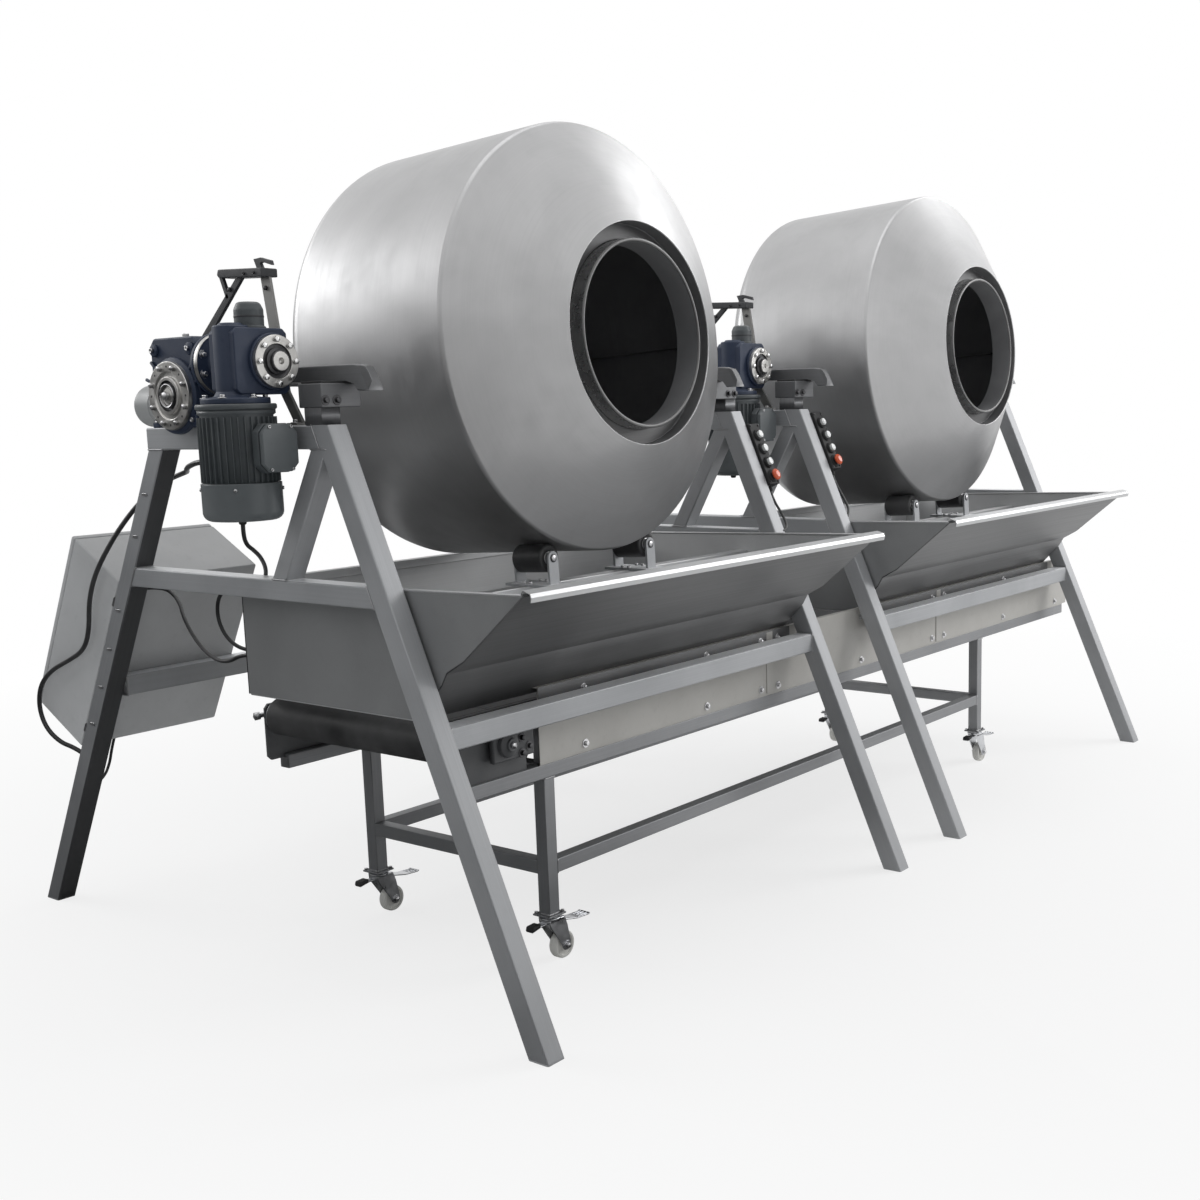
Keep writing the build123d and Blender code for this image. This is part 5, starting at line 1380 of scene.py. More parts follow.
# Hoppers
def make_hopper(tag, left):
    middle = left + STAND_WIDTH / 2
    ends = around(middle, HOPPER_HALF)
    dy, dz = BEND_Y - LIP_Y, BEND_Z - LIP_Z
    crease = [(LIP_Y + 0.72 * dy, LIP_Z + 0.72 * dz), (LIP_Y + 0.93 * dy, LIP_Z + 0.86 * dz)]
    front = [(LIP_Y, LIP_Z), *crease, (BEND_Y, BEND_Z), (HOPPER_FRONT_Y, HOPPER_BOTTOM_Z)]
    rear = [(HOPPER_REAR_Y, HOPPER_BOTTOM_Z), (HOPPER_REAR_Y, REAR_LIP_Z)]
    sheet = Shape()
    # Walls in the dark outside copy of the sheet steel: painted shade.
    for line, thickness in ((front, -SHEET), (rear, SHEET)):
        sheet.slab(middle, bent_sheet(line, thickness), HOPPER_HALF, hopper_steel, ALONG_X, 0.001)
    # The walls' inner faces, in a lighter copy of the sheet steel: painted light where light falls into the
    # hopper
    for line in (front, [(y - SHEET, z) for y, z in rear]):
        sheet.slab(middle, bent_sheet(line, PAINTED_LIGHT_SKIN), HOPPER_HALF - SHEET, painted_light_inside, ALONG_X, 0)
    # Lips folded out and down, in a lighter copy of the sheet steel: a painted highlight along the edges
    fold, back = LIP_Y - LIP_FLANGE, HOPPER_REAR_Y + LIP_FLANGE
    front_lip = [
        (fold + 0.003, LIP_Z - 0.016), (fold, LIP_Z - 0.004), (fold + 0.004, LIP_Z + 0.006),
        (LIP_Y, LIP_Z + 0.013), (LIP_Y + 0.010, LIP_Z - 0.002)
    ]
    rear_lip = [
        (HOPPER_REAR_Y - 0.012, REAR_LIP_Z - 0.022), (HOPPER_REAR_Y - 0.010, REAR_LIP_Z + 0.002),
        (HOPPER_REAR_Y + 0.001, REAR_LIP_Z + 0.004), (back, REAR_LIP_Z + 0.001), (back, REAR_LIP_Z - 0.014)
    ]
    for line, proud in ((front_lip, 0.001), (rear_lip, 0)):
        sheet.slab(middle, bent_sheet(line, -0.003), HOPPER_HALF + proud, painted_highlight_steel, ALONG_X, 0.001)
    outline = front + rear
    inset = [(y + 0.004 * (1 if y < 0.9 * HOPPER_REAR_Y else -1), z - 0.004) for y, z in outline]
    side_room = (STAND_WIDTH - TUBE) / 2 - HOPPER_HALF
    top_way = Vector((0, HOPPER_REAR_Y - LIP_Y, REAR_LIP_Z - LIP_Z))
    for end, toward in zip(ends, (1, -1)):
        sheet.side(end, outline, *sorted((0, toward * SHEET)), end_steel)
        # The end plate's inner face, in the lighter copy: painted light.
        sheet.side(
            end, inset, *sorted((toward * SHEET, toward * (SHEET + PAINTED_LIGHT_SKIN))), painted_light_inside, 0, every=False
        )
        # Rolled hem along the end plate's top edge, in the painted-highlight steel, and the corner welds
        start = at(end + toward * SHEET / 2, LIP_Y, LIP_Z)
        sheet.disc(start, top_way, 0.0042, 0.004, top_way.length - 0.004, painted_highlight_steel, 14, 0.001)
        weld_x = end + toward * (SHEET + 0.001)
        sheet.bead([at(weld_x, y + 0.006, z) for y, z in outline[:5]], 0.0022, weld_steel, seed=3)
        rear_corner = [at(weld_x, HOPPER_REAR_Y - 0.004, z) for z in (HOPPER_BOTTOM_Z, REAR_LIP_Z - 0.006)]
        sheet.bead(rear_corner, 0.0022, weld_steel, seed=4)
        reach = sorted((end - toward * side_room, end + toward * SHEET))
        for pad_y in HOPPER_PAD_Y:
            sheet.plate(reach, around(pad_y, 0.040), (CROSS_RAIL_Z + 0.003, REAR_LIP_Z - 0.002), end_steel)
    # Beam and brackets that carry the rest rollers; the beam is in the painted-highlight steel
    beam_x = (ends[0] + SHEET / 2, ends[1] - SHEET / 2)
    sheet.block(beam_x, around(REST_BEAM_Y, 0.020), (REST_BEAM_Z, REST_BEAM_Z + 0.040), painted_highlight_steel, 0.003)
    for side in (-1, 1):
        centre = roller_centre(middle, side)
        x = centre.x + MIDDLE_X
        drop = (centre.z - (REST_BEAM_Z + 0.038)) / UP_DIR.z + 0.004
        bracket = [(-0.020, -drop), (0.020, -drop), *half_turn(0, 0, 0.020, 0.020, 10)]
        for along in (ROLLER_START - 0.014, ROLLER_END + 0.004):
            sheet.prism(
                centre + AXIS_DIR * along, -ALONG_X, UP_DIR, bracket, 0, 0.008, bar_steel_highlit_tops, 0.001, AXIS_DIR,
                True
            )
        plate_y = (RIM_Y - 0.025, RIM_Y + ROLLER_END - 0.010)
        sheet.plate(around(x, 0.045), plate_y, (REST_BEAM_Z + 0.036, REST_BEAM_Z + 0.044), bar_steel_highlit_tops, 0.0015)
        for dx, dy in grid(0.034, 0.012):
            sheet.bolt(at(x + dx, REST_BEAM_Y + dy, REST_BEAM_Z + 0.044), ALONG_Z, 0.010, bolt_steel)
    sheet.finish(f"hopper_sheets_{tag}", "base", "hopper_steel", f"hopper_{tag}")


def roller_centre(middle, side):
    reach = PAN_RADIUS + ROLLER_RADIUS + ROLLER_GAP
    return at(middle + side * reach * sin(ROLLER_ANGLE), RIM_Y, RIM_Z) - UP_DIR * reach * cos(ROLLER_ANGLE)


def make_rest_rollers(tag, left):
    low, high = ROLLER_START, ROLLER_END
    tyre = [
        (0.018, low + 0.004), (0.030, low), (ROLLER_RADIUS, low), (ROLLER_RADIUS, high), (0.030, high),
        (0.018, high - 0.004)
    ]
    for side, name in ((-1, "left"), (1, "right")):
        roller = Shape()
        start = roller_centre(left + STAND_WIDTH / 2, side)
        roller.lathe(start, AXIS_DIR, tyre, roller_rubber, 56, [0, 0.001, 0.006, 0.006, 0.001, 0])
        roller.disc(start, AXIS_DIR, 0.019, low + 0.001, high - 0.001, bolt_steel, 32)
        roller.disc(start, AXIS_DIR, ROLLER_PIN, low - 0.018, high + 0.018, bolt_steel, 28)
        for along in (low - 0.0155, high + 0.0135):
            ring = [(ROLLER_PIN, along), (0.012, along), (0.012, along + 0.002), (ROLLER_PIN, along + 0.002)]
            roller.lathe(start, AXIS_DIR, ring, dark_steel, 20)
        roller.finish(
            f"rest_roller_{name}_tyre_{tag}", f"roller_{name}_{tag}", "rest_rubber",
            f"rest_roller_{name}_{tag}"
        )


# Control boxes
def make_control_box(tag, leg_x):
    outward = Vector((0, -cos(FRONT_LEAN), sin(FRONT_LEAN)))
    half_x, half_y, length = BOX_SIZE[0] / 2, BOX_SIZE[1] / 2, BOX_SIZE[2]
    foot = at(leg_x + TUBE / 2 + half_x, 0, 0) + FRONT_LEG_WAY * BOX_START[tag]
    middle = foot - outward * 0.020
    split = half_y - 0.016
    box = Shape()
    for depth in ((-half_y, split - 0.0008), (split + 0.0008, half_y)):
        outline = box_outline(around(0, half_x), depth, 0.004)
        box.prism(middle, ALONG_X, outward, outline, 0, -length, box_plastic, 0.003, FRONT_LEG_WAY, True)
    seam = box_outline(around(0, half_x - 0.002), around(split, 0.003))
    box.prism(middle, ALONG_X, outward, seam, -0.002, -length + 0.002, dark_steel)
    for dx in around(0, half_x - 0.008):
        for up in (0.009, length - 0.009):
            spot = middle + ALONG_X * dx + FRONT_LEG_WAY * up + outward * (half_y - 0.0005)
            box.socket_screw(spot, outward, 0.0035, dark_steel, box_plastic)
    spots = [
        foot + FRONT_LEG_WAY * (
            0.028 + step * BUTTON_PITCH
        ) + outward * (half_y - 0.020) for step in range(4)
    ]
    ring, well = BUTTON_RADIUS + 0.007, BUTTON_RADIUS + 0.0012
    bezel = [
        (ring, -0.001), (ring, 0.004), (ring - 0.002, 0.007), (well, 0.007), (well, 0.0012),
        (0.0076, 0.0012)
    ]
    stop_bezel = [
        (STOP_RADIUS + 0.003, -0.001), (STOP_RADIUS + 0.003, 0.002), (STOP_RADIUS - 0.004, 0.0055),
        (0.0086, 0.0055)
    ]
    for step, spot in enumerate(spots):
        box.lathe(spot, outward, bezel if step else stop_bezel, box_plastic, 40)
    make_gland(box, middle, -FRONT_LEG_WAY, 0.0105, GLAND_LENGTH)
    box.finish(f"switch_box_{tag}", "base", "box_black", f"control_box_{tag}")
    low = 0.003 + BUTTON_TRAVEL
    high = low + BUTTON_HEIGHT - 0.002
    cap = [
        (0.007, low), (BUTTON_RADIUS, low), (BUTTON_RADIUS, high), (BUTTON_RADIUS - 0.004, high - 0.0008),
        (0, high - 0.0016)
    ]
    mushroom = [
        (0.008, 0.0125), (STOP_RADIUS - 0.003, 0.0125), (STOP_RADIUS, 0.016), (STOP_RADIUS - 0.001, 0.0205),
        (STOP_RADIUS * 0.6, 0.0255), (0, 0.0265)
    ]
    for step, spot in enumerate(spots):
        button = Shape()
        if step:
            name, slot = f"push_button_{step}_{tag}", "button_pale"
            button.lathe(spot, outward, [(0, -0.008), (0.007, -0.008), (0.007, low)], dark_steel, 24)
            button.lathe(spot, outward, cap, button_plastic, 40, [0, 0.001, 0.0016, 0.001, 0])
        else:
            name, slot = f"stop_button_{tag}", "stop_red"
            button.lathe(spot, outward, [(0, -0.008), (0.008, -0.008), (0.008, 0.012)], dark_steel, 24)
            button.lathe(spot, outward, mushroom, stop_plastic, 44, [0, 0.001, 0.001, 0.002, 0.010, 0], 5)
        button.finish(f"{name}_cap", name, slot, name)


# Conveyor
RAIL = 0.040
RAIL_Z = (CONVEYOR_RAIL_Z, CONVEYOR_RAIL_Z + RAIL)
LOW_Z = (CONVEYOR_LOW_Z, CONVEYOR_LOW_Z + RAIL)
THREAD_TURNS = 66
THREAD_PITCH = 0.0025
LACE_COUNT = 40
BELT_EDGE = 0.0012
BELT_ARC_STEPS = 28


def make_conveyor():
    half_leg = CONVEYOR_LEG / 2
    steel = Shape()
    for side_y, inward in zip(CONVEYOR_Y, (1, -1)):
        y = around(side_y, RAIL / 2)
        leg_y = around(side_y, half_leg)
        steel.block((RAIL_START_X, CONVEYOR_END_X - 0.040), y, RAIL_Z, conveyor_steel, 0.003)
        steel.block(
            (CONVEYOR_LEG_X[0] + half_leg, CONVEYOR_LEG_X[1] - half_leg), y, LOW_Z, conveyor_steel, 0.003
        )
        for leg_x, toward in zip(CONVEYOR_LEG_X, (1, -1)):
            steel.block(
                around(leg_x, half_leg), leg_y, (CASTOR_TOP_Z + 0.004, CONVEYOR_RAIL_Z), conveyor_steel,
                0.004, ALONG_Z
            )
            # Plate that the castor bolts to
            plate_z = (CASTOR_TOP_Z, CASTOR_TOP_Z + 0.005)
            steel.plate(around(leg_x, 0.034), around(side_y, 0.032), plate_z, conveyor_steel)
            for dx, dy in grid(0.027, 0.025):
                steel.bolt(at(leg_x + dx, side_y + dy, plate_z[1]), ALONG_Z, 0.010, bolt_steel)
            for z, seed in ((CASTOR_TOP_Z + 0.006, 2), (CONVEYOR_RAIL_Z, 3)):
                weld_loop(steel, leg_x, level_loop(around(0, half_leg), leg_y, z), 0.0024, seed)
            weld_loop(steel, leg_x, section_loop(toward * half_leg, y, LOW_Z), 0.0024, 5)
        # Plates that hold the two pulleys' pins
        face = side_y - inward * 0.012
        pin = PULLEY_PIN + 0.0012
        ring = [(pin, -0.001), (pin, 0.006), (0.026, 0.006), (0.028, 0.004), (0.028, -0.001)]
        for pulley_x, toward in ((TAIL_X, 1), (DRIVE_X, -1)):
            x = sorted((pulley_x - toward * 0.030, pulley_x + toward * 0.260))
            plate = cut_outline(x, (CONVEYOR_RAIL_Z + 0.030, PULLEY_Z + 0.034), 0.012)
            steel.front(0, max(face, face + inward * 0.008), plate, 0, 0.008, iron_paint, 0.001, ALONG_X)
            steel.lathe(at(pulley_x, face, PULLEY_Z), -inward * ALONG_Y, ring, iron_paint, 36)
    cross = (CONVEYOR_Y[0] + half_leg, CONVEYOR_Y[1] - half_leg)
    for leg_x in CONVEYOR_LEG_X:
        steel.block(around(leg_x, RAIL / 2), cross, LOW_Z, conveyor_steel, 0.003, ALONG_Y)
    inner = (CONVEYOR_Y[0] + RAIL / 2, CONVEYOR_Y[1] - RAIL / 2)
    bed_z = PULLEY_Z + PULLEY_RADIUS - 0.001
    pitch = (DRIVE_X - BRIDGE_END_ROOM - CONVEYOR_LEG_X[0]) / (BRIDGE_COUNT - 1)
    for step in range(BRIDGE_COUNT):
        x = around(CONVEYOR_LEG_X[0] + step * pitch, RAIL / 2)
        steel.block(x, inner, RAIL_Z, conveyor_steel, 0.003, ALONG_Y)
        steel.block(x, inner, (PULLEY_Z + 0.016, bed_z), conveyor_steel, 0.002, ALONG_Y)
        for side_y, inward in zip(CONVEYOR_Y, (1, -1)):
            y = sorted((side_y - inward * 0.004, side_y + inward * 0.018))
            steel.block(x, y, (RAIL_Z[1], bed_z), conveyor_steel, 0.002, ALONG_Z)
    steel.finish("conveyor_stand", "base", "frame_steel", "conveyor_frame")


def make_side_panels():
    root = 0.0062
    rings = [(0, 0)]
    for k in range(THREAD_TURNS):
        along = 0.001 + k * THREAD_PITCH
        rings += [(root, along), (0.0070, along + THREAD_PITCH / 2)]
    rings += [(root, 0.168), (root, 0.205), (0, 0.205)]
    for side_y, outward, name in ((CONVEYOR_Y[0], -1, "front"), (CONVEYOR_Y[1], 1, "rear")):
        face = side_y + outward * PANEL_REACH
        out = outward * ALONG_Y
        panel = Shape()
        # Sheet with its top edge folded in and its foot on the rail
        top = PANEL_TOP_Z - 0.0002
        line = [
            (face - outward * 0.022, top), (face, top), (face, PANEL_BOTTOM_Z),
            (face - outward * 0.008, PANEL_BOTTOM_Z)
        ]
        folded = bent_sheet(line, -0.003 * outward)
        panel.side(PANEL_START_X, folded, 0, CONVEYOR_END_X - PANEL_START_X, panel_paint, every=False)
        foot_y = sorted((face, face - outward * 0.008))
        panel.block(
            (PANEL_START_X, CONVEYOR_END_X - 0.040), foot_y, (RAIL_Z[1], PANEL_BOTTOM_Z + 0.003),
            panel_paint, 0.001
        )
        if outward < 0:
            add_painted_shade_strips(panel, face)
        # Joints of the panel's lengths, and its bolts
        joint_y = sorted((face, face + outward * 0.003))
        for x in PANEL_JOINTS:
            panel.plate(
                around(x, 0.018), joint_y, (PANEL_BOTTOM_Z + 0.004, PANEL_TOP_Z - 0.004), panel_paint,
                0.0008
            )
        for x in PANEL_BOLTS:
            for z in (PANEL_BOTTOM_Z + 0.022, PANEL_TOP_Z - 0.030):
                panel.bolt(at(x, face, z), out, 0.013, bolt_steel, bolt_steel)
        # Take-up housing, its slide and stops
        take_up = sorted((face + outward * 0.016, face - outward * 0.001))
        panel.plate(
            (TAIL_X + 0.112, TAIL_X + 0.268), take_up, (PULLEY_Z - 0.074, PULLEY_Z + 0.014), iron_paint,
            0.006
        )
        panel.plate(
            (TAIL_X + 0.085, PANEL_START_X + 0.075), take_up, (PULLEY_Z + 0.020, PULLEY_Z + 0.038),
            iron_paint, 0.002
        )
        for x, z in ((PANEL_START_X + 0.050, PULLEY_Z + 0.048), (PANEL_START_X + 0.064, PULLEY_Z + 0.012)):
            panel.plate((x, x + 0.012), take_up, around(z, 0.014), iron_paint, 0.003)
        boss = at(TAIL_X + 0.165, face + outward * 0.0155, PULLEY_Z - 0.028)
        dome = [(0.036, 0), (0.034, 0.010), (0.018, 0.016), (0.018, 0.022), (0, 0.022)]
        panel.lathe(boss, out, dome, iron_paint, 44, [0, 0.004, 0.003, 0.002, 0], 3)
        panel.lathe(boss + out * 0.021, out, [(0, 0), (0.009, 0), (0.009, 0.006), (0, 0.006)], bolt_steel, 24)
        for dx, dz in ((0.054, 0.008), (0.082, -0.020), (0.054, -0.034)):
            panel.bolt(boss + Vector((dx, outward * 0.0005, dz)), out, 0.013, dark_steel, dark_steel)
        # The take-up's screw and its lock nuts
        screw = at(TAIL_X - 0.050, face + outward * 0.007, PULLEY_Z)
        panel.lathe(screw, ALONG_X, rings, bolt_steel, 14)
        for along in (0.004, 0.180):
            nut = [(0.006, along), (0.0125, along), (0.0125, along + 0.011), (0.006, along + 0.011)]
            panel.lathe(screw, ALONG_X, nut, bolt_steel, 6)
        if outward < 0:
            add_stand_pads(panel, face)
        panel.finish(f"panel_{name}", "base", "panel_paint", f"side_panel_{name}")


def add_painted_shade_strips(panel, face):
    """Thin strips in the hopper's dark outside steel, in front of the panel's top edge: painted shade under
    each hopper.
    """
    for _, left in STATIONS:
        low, high = around(left + STAND_WIDTH / 2, HOPPER_HALF)
        strip_z = (LOWER_BAR_Z + 0.040, PANEL_TOP_Z + 0.0005)
        panel.plate(
            (max(low, PANEL_START_X), high), (face - 0.0015, face - 0.0002), strip_z, hopper_steel, 0.0005
        )


def add_stand_pads(panel, face):
    """Pads between the stands' lower bars and the panel."""
    for _, left in STATIONS:
        for x in (0.520, STAND_WIDTH - 0.150):
            pad_z = (LOWER_BAR_Z + 0.010, LOWER_BAR_Z + 0.050)
            panel.plate(
                around(left + x, 0.040), (LOWER_BAR_Y + TUBE, face + 0.001), pad_z, roller_rubber, 0.002
            )


def make_belt():
    belt = Shape()
    y = (CONVEYOR_Y[0] + 0.030, CONVEYOR_Y[1] - 0.030)
    turns = [pi * k / BELT_ARC_STEPS for k in range(BELT_ARC_STEPS + 1)]
    loops = []
    for radius in (PULLEY_RADIUS + BELT_THICKNESS, PULLEY_RADIUS):
        loop = []
        for x, reach in ((DRIVE_X, radius), (TAIL_X, -radius)):
            loop += [(x + reach * sin(turn), PULLEY_Z + reach * cos(turn)) for turn in turns]
        loops.append(loop)
    made = bmesh.new()
    rows = []
    for level, edge in ((y[0], BELT_EDGE), (y[0] + BELT_EDGE, 0), (y[1] - BELT_EDGE, 0), (y[1], BELT_EDGE)):
        row = []
        for loop, sign in zip(loops, (-1, 1)):
            ring = []
            for x, z in loop:
                middle_x = min(max(x, TAIL_X), DRIVE_X)
                away = Vector((x - middle_x, z - PULLEY_Z))
                away = away.normalized() * (away.length + sign * edge)
                ring.append(made.verts.new(at(middle_x + away.x, level, PULLEY_Z + away.y)))
            row.append(ring)
        rows.append(row)
    bands = [(low[which], high[which]) for low, high in zip(rows, rows[1:]) for which in (0, 1)]
    for low, high in bands + [rows[0], rows[-1]]:
        for k in range(len(low)):
            n = (k + 1) % len(low)
            made.faces.new((low[k], low[n], high[n], high[k]))
    bmesh.ops.recalc_face_normals(made, faces=made.faces[:])
    belt.take(made, belt_rubber, lambda co: tuple(co))
    # Guide strips along both edges, and the joint's lacing
    top = PULLEY_Z + PULLEY_RADIUS + BELT_THICKNESS
    for level in (y[0] + 0.012, y[1] - 0.018):
        belt.block(
            (TAIL_X, DRIVE_X), (level, level + 0.006), (top - 0.0005, top + 0.0012), belt_rubber, 0.0004
        )
    for k in range(LACE_COUNT):
        lace_y = y[0] + 0.020 + k * (y[1] - y[0] - 0.040) / (LACE_COUNT - 1)
        belt.block(
            (TAIL_X + 0.180, TAIL_X + 0.210), around(lace_y, 0.004), (top - 0.0004, top + 0.0010),
            dark_steel, 0.0004
        )
    belt.finish("belt", "base", "belt_rubber", "conveyor_belt")
    half = (y[1] - y[0]) / 2 + 0.008
    reach = (CONVEYOR_Y[1] - CONVEYOR_Y[0]) / 2 + 0.016
    size = PULLEY_RADIUS - 0.0003
    end = [(PULLEY_PIN, half - 0.012), (0.040, half - 0.012), (0.044, half), (size, half)]
    profile = [(radius, -along) for radius, along in end] + end[::-1]
    for pulley_x, name in ((TAIL_X, "tail"), (DRIVE_X, "drive")):
        roller = Shape()
        start = at(pulley_x, (y[0] + y[1]) / 2, PULLEY_Z)
        roller.lathe(
            start, ALONG_Y, profile, roller_metal, 64, [0, 0.001, 0.001, 0.002, 0.002, 0.001, 0.001, 0], 3
        )
        roller.disc(start, ALONG_Y, PULLEY_PIN, -reach, reach, bolt_steel, 36)
        roller.finish(f"{name}_pulley_steel", f"{name}_pulley", "roller_steel", f"{name}_roller")


def make_castor(index, leg_x, side_y):
    gap = WHEEL_WIDTH / 2 + 0.002
    wide = gap + FORK_CHEEK
    trail, top = CASTOR_TRAIL, CASTOR_TOP_Z
    fork = Shape()
    axle = at(leg_x + trail, side_y, WHEEL_RADIUS)
    swivel = at(leg_x, side_y, top - 0.0003)
    race = [(0, 0), (0.026, 0), (0.026, 0.004), (0.031, 0.006), (0.031, 0.011), (0.026, 0.014), (0, 0.014)]
    fork.lathe(swivel, -ALONG_Z, race, zinc, 44, [0, 0.001, 0.001, 0.002, 0.002, 0.001, 0], 3)
    fork.disc(swivel, ALONG_Z, 0.010, -0.006, 0.038, bolt_steel, 28)
    bridge = box_outline((-0.026, 0.042), (-wide, wide), 0.008)
    fork.prism(
        at(leg_x, side_y, top - 0.022), ALONG_X, ALONG_Y, bridge, 0, 0.010, zinc, 0.0025, ALONG_Z, True
    )
    cheek = [(-0.024, top - 0.013), (0.040, top - 0.013), (0.050, top - 0.040)]
    eye = [
        (0.017, 0.006), (0.016, -0.006), (0.008, -0.014), (-0.008, -0.014), (-0.016, -0.006),
        (-0.021, 0.008)
    ]
    cheek += [(trail + dx, WHEEL_RADIUS + dz) for dx, dz in eye]
    cheek.append((-0.018, top - 0.032))
    for side in (-1, 1):
        out = side * ALONG_Y
        fork.front(
            leg_x, side_y + side * (gap + FORK_CHEEK / 2), cheek, -FORK_CHEEK / 2, FORK_CHEEK / 2, zinc,
            0.0014
        )
        fork.bolt(axle + out * wide, out, 0.013, bolt_steel, zinc)
        fork.disc(axle + out * wide, out, 0.004, 0, 0.010, bolt_steel, 20, 0.001)
    fork.disc(axle, ALONG_Y, AXLE_RADIUS, -wide, wide, bolt_steel, 28)
    # Brake pedal in pressed zinc with its ribs, and the release lever with a dark pad
    line = [(0.026, 0.121), (0.046, 0.113), (0.092, 0.103), (0.140, 0.100), (0.147, 0.103)]
    pedal = rounded(line, [0, 0.020, 0.020, 0.020, 0])
    lever = [(-0.020, 0.122), (-0.050, 0.121), (-0.084, 0.115)]
    pad = [(-0.086, 0.1125), (-0.052, 0.1175), (-0.050, 0.129), (-0.082, 0.127)]
    fork.front(leg_x, side_y, bent_sheet(pedal, 0.0035), -wide, wide, zinc, 0.0012)
    for dy in (-0.012, 0, 0.012):
        fork.plate(
            (leg_x + 0.108, leg_x + 0.142), around(side_y + dy, 0.0016), (0.1035, 0.1065), zinc, 0.0008
        )
    fork.front(leg_x, side_y, bent_sheet(lever, 0.004), -gap * 0.7, gap * 0.7, zinc, 0.0012)
    fork.front(leg_x, side_y, pad, -gap * 0.85, gap * 0.85, box_plastic, 0.004)
    fork.finish(f"castor_{index}_fork", f"castor_{index}", "castor_zinc", f"castor_fork_{index}")
    half, bore = WHEEL_WIDTH / 2, AXLE_RADIUS + 0.0004
    flank = [
        (bore, half), (0.012, half), (0.013, half - 0.004), (0.029, half - 0.005), (0.031, half - 0.001),
        (WHEEL_RADIUS - 0.003, half - 0.001), (WHEEL_RADIUS, half - 0.006)
    ]
    profile = [(radius, -along) for radius, along in flank] + flank[::-1] + [(bore, -half)]
    radii = [0, 0.0005, 0.001, 0.002, 0.001, 0.003, 0.006]
    wheel = Shape()
    wheel.lathe(axle, ALONG_Y, profile, nylon, 64, radii + radii[::-1] + [0])
    wheel.finish(f"wheel_{index}_nylon", f"wheel_{index}", "wheel_nylon", f"castor_wheel_{index}")


# Cabinet, drawn in the plane of X and the rear leg; its depth grows against that plane's normal
def make_cabinet():
    outward = Vector((0, cos(REAR_LEAN), sin(REAR_LEAN)))
    origin = at(0, REAR_FOOT_Y, 0)
    left, right = -TUBE / 2, CABINET_SIZE[0] - TUBE / 2
    low, high = CABINET_UP_LEG, CABINET_UP_LEG + CABINET_SIZE[2]
    depth = CABINET_SIZE[1]
    cabinet = Shape()
    for inset, near, far in ((0, 0, depth - 0.020), (0.001, depth - 0.0175, depth)):
        outline = box_outline((left + inset, right - inset), (low + inset, high - inset), 0.006)
        cabinet.prism(
            origin, ALONG_X, REAR_LEG_WAY, outline, -near, -far, cabinet_paint, 0.004, ALONG_X, True
        )
    seam = box_outline((left + 0.006, right - 0.006), (low + 0.006, high - 0.006))
    cabinet.prism(origin, ALONG_X, REAR_LEG_WAY, seam, -(depth - 0.024), -(depth - 0.012), dark_steel)
    # Hinges on one side, quarter-turn locks on the other
    slit = box_outline(around(0, 0.0015), around(0, 0.008))
    for share in (0.18, 0.82):
        level = origin + REAR_LEG_WAY * (low + share * CABINET_SIZE[2])
        hinge = level + outward * (depth - 0.018) + ALONG_X * (right - 0.001)
        cabinet.disc(hinge, REAR_LEG_WAY, 0.006, -0.024, 0.024, cover_alloy, 24)
        lock = level + outward * depth + ALONG_X * (left + 0.030)
        cabinet.lathe(
            lock, outward, [(0.013, -0.001), (0.013, 0.002), (0.011, 0.003), (0, 0.003)], dark_steel, 32
        )
        cabinet.prism(lock + outward * 0.0028, ALONG_X, REAR_LEG_WAY, slit, 0, -0.001, cover_alloy)
    # Straps that hold it on the leg, and the glands below
    for share in (0.12, 0.88):
        strap = box_outline(
            (left - 0.002, TUBE / 2 + 0.030), around(low + share * CABINET_SIZE[2], 0.015), 0.003
        )
        cabinet.prism(origin, ALONG_X, REAR_LEG_WAY, strap, -0.003, 0.0005, weld_steel)
    for gland_x in GLAND_PLACES:
        foot = at(gland_x, REAR_FOOT_Y, 0) + REAR_LEG_WAY * low + outward * GLAND_DEPTH
        make_gland(cabinet, foot, -REAR_LEG_WAY, 0.0125, GLAND_LENGTH)
    cabinet.finish("cabinet_body", "base", "cabinet_paint", "cabinet")


def make_clips():
    """Clips down the near rear leg, beside the supply cable."""
    clips = Shape()
    outline = box_outline(around(0, 0.011), around(0, 0.004), 0.002)
    for z in CLIP_HEIGHTS:
        spot = at(-TUBE / 2, rear_leg_y(z) - REAR_RUN / 2, z)
        clips.prism(spot, ALONG_Y, ALONG_Z, outline, 0.001, -0.003, bolt_steel, 0.0008, ALONG_Z, True)
    clips.finish("cable_clips", "base", "castor_zinc")


station_makers = [
    make_stand, make_pan, make_cradle, make_tilt_gearbox, make_first_gearbox, make_tilt_motor, make_bearing,
    make_bracket, make_hopper, make_rest_rollers
]
for tag, left in STATIONS:
    for make in station_makers:
        make(tag, left)
make_control_box("a", STAND_WIDTH)
make_control_box("b", STATION_PITCH)
make_conveyor()
make_side_panels()
make_belt()
castor_places = [(leg_x, side_y) for leg_x in CONVEYOR_LEG_X for side_y in CONVEYOR_Y]
for index, (leg_x, side_y) in enumerate(castor_places, start=1):
    make_castor(index, leg_x, side_y)
make_cabinet()
make_clips()


# Studio
FILL = 0.36
FLOOR_REACH = 60
ARC_STEPS = 48
GROUND_Z = 0.004


def seen_rays(tree):
    """1 for rays from the camera, off gloss or through glass, and 0 for the light that falls on things."""
    path = tree.nodes.new("ShaderNodeLightPath")
    total = path.outputs["Is Camera Ray"]
    for name in ("Is Glossy Ray", "Is Transmission Ray"):
        either = tree.nodes.new("ShaderNodeMath")
        either.operation = "MAXIMUM"
        tree.links.new(total, either.inputs[0])
        tree.links.new(path.outputs[name], either.inputs[1])
        total = either.outputs["Value"]
    return total


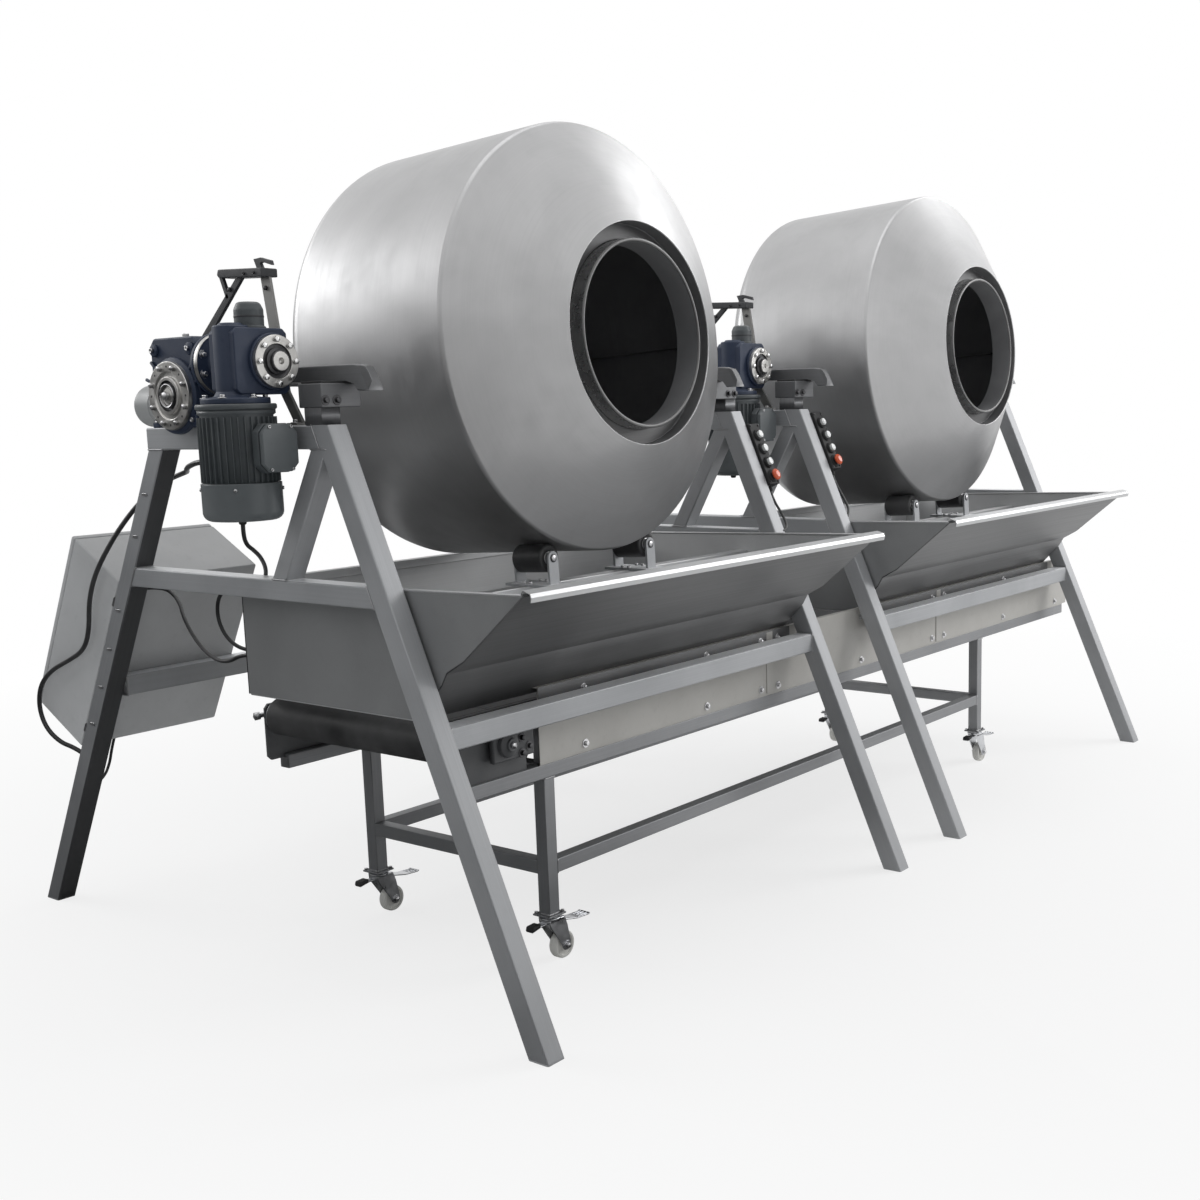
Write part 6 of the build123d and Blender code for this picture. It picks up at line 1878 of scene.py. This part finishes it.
def make_stage():
    s = Surface("floor", (0.92, 0.92, 0.915), roughness=0.9)
    reach = s.node("VectorMath", {0: s.place()}, operation="LENGTH").outputs["Value"]
    fade = s.math("MULTIPLY", s.spread(reach, 0.70, 1.0, 0.5, 5.0), seen_rays(s.tree))
    white = s.node("Emission", {"Color": (1, 1, 1, 1), "Strength": 1.0})
    mixed = s.node("MixShader", {0: fade, 1: s.shader.outputs["BSDF"], 2: white.outputs["Emission"]})
    s.tree.links.new(mixed.outputs["Shader"], s.out.inputs["Surface"])
    made = bmesh.new()
    bmesh.ops.create_circle(made, cap_ends=True, segments=96, radius=FLOOR_REACH)
    add_mesh("floor", made, [s.material])


def make_dark_ground(reach, height, first, last, shade):
    """A dark ground and a low dark horizon that only reflections show."""
    s = Surface("dark ground", (shade, shade, shade), roughness=0.95)
    made = bmesh.new()
    arc = [radians(first + (last - first) * k / ARC_STEPS) for k in range(ARC_STEPS + 1)]
    low, high = (
        [made.verts.new((reach * cos(a), reach * sin(a), z)) for a in arc] for z in (GROUND_Z, height)
    )
    made.faces.new([made.verts.new((0, 0, GROUND_Z))] + low)
    for k in range(ARC_STEPS):
        made.faces.new((low[k + 1], low[k], high[k], high[k + 1]))
    ground = add_mesh("dark ground", made, [s.material])
    ground.visible_camera = ground.visible_diffuse = ground.visible_shadow = False


def make_world():
    """White where the camera and gloss look, a bluish fill for the light that falls on things."""
    world = bpy.data.worlds.new("studio")
    bpy.context.scene.world = world
    world.use_nodes = True
    tree = world.node_tree
    tree.nodes.clear()
    out = tree.nodes.new("ShaderNodeOutputWorld")
    mix = tree.nodes.new("ShaderNodeMixShader")
    tree.links.new(seen_rays(tree), mix.inputs[0])
    for index, color, strength in ((1, (0.95, 0.975, 1, 1), FILL), (2, (1, 1, 1, 1), 1.0)):
        light = tree.nodes.new("ShaderNodeBackground")
        light.inputs["Color"].default_value = color
        light.inputs["Strength"].default_value = strength
        tree.links.new(light.outputs["Background"], mix.inputs[index])
    tree.links.new(mix.outputs["Shader"], out.inputs["Surface"])


def make_lamp(name, place, target, size, power):
    data = bpy.data.lights.new(name, "AREA")
    data.shape = "RECTANGLE"
    data.size, data.size_y = size
    data.energy = power
    lamp = add_object(name, data)
    aim = (Vector(target) - Vector(place)).to_track_quat("-Z", "Y")
    lamp.matrix_world = Matrix.Translation(place) @ aim.to_matrix().to_4x4()


make_stage()
make_dark_ground(6.0, 2.3, 75, 240, 0.10)
make_world()
make_lamp("key", (5.85, -4.57, 4.00), (0, 0, 1.0), (4.0, 3.5), 250)
make_lamp("glint", (6.09, -0.64, 6.14), (0, 0, 1.5), (2.4, 2.0), 54)
make_lamp("back", (-3.65, 6.33, 4.25), (0, 0, 1.2), (3.5, 3.0), 122)
make_lamp("top", (0.0, 0.0, 7.5), (0, 0, 1.0), (5.0, 5.0), 90)
bpy.context.scene.view_settings.view_transform = "Standard"

bpy.context.view_layer.update()
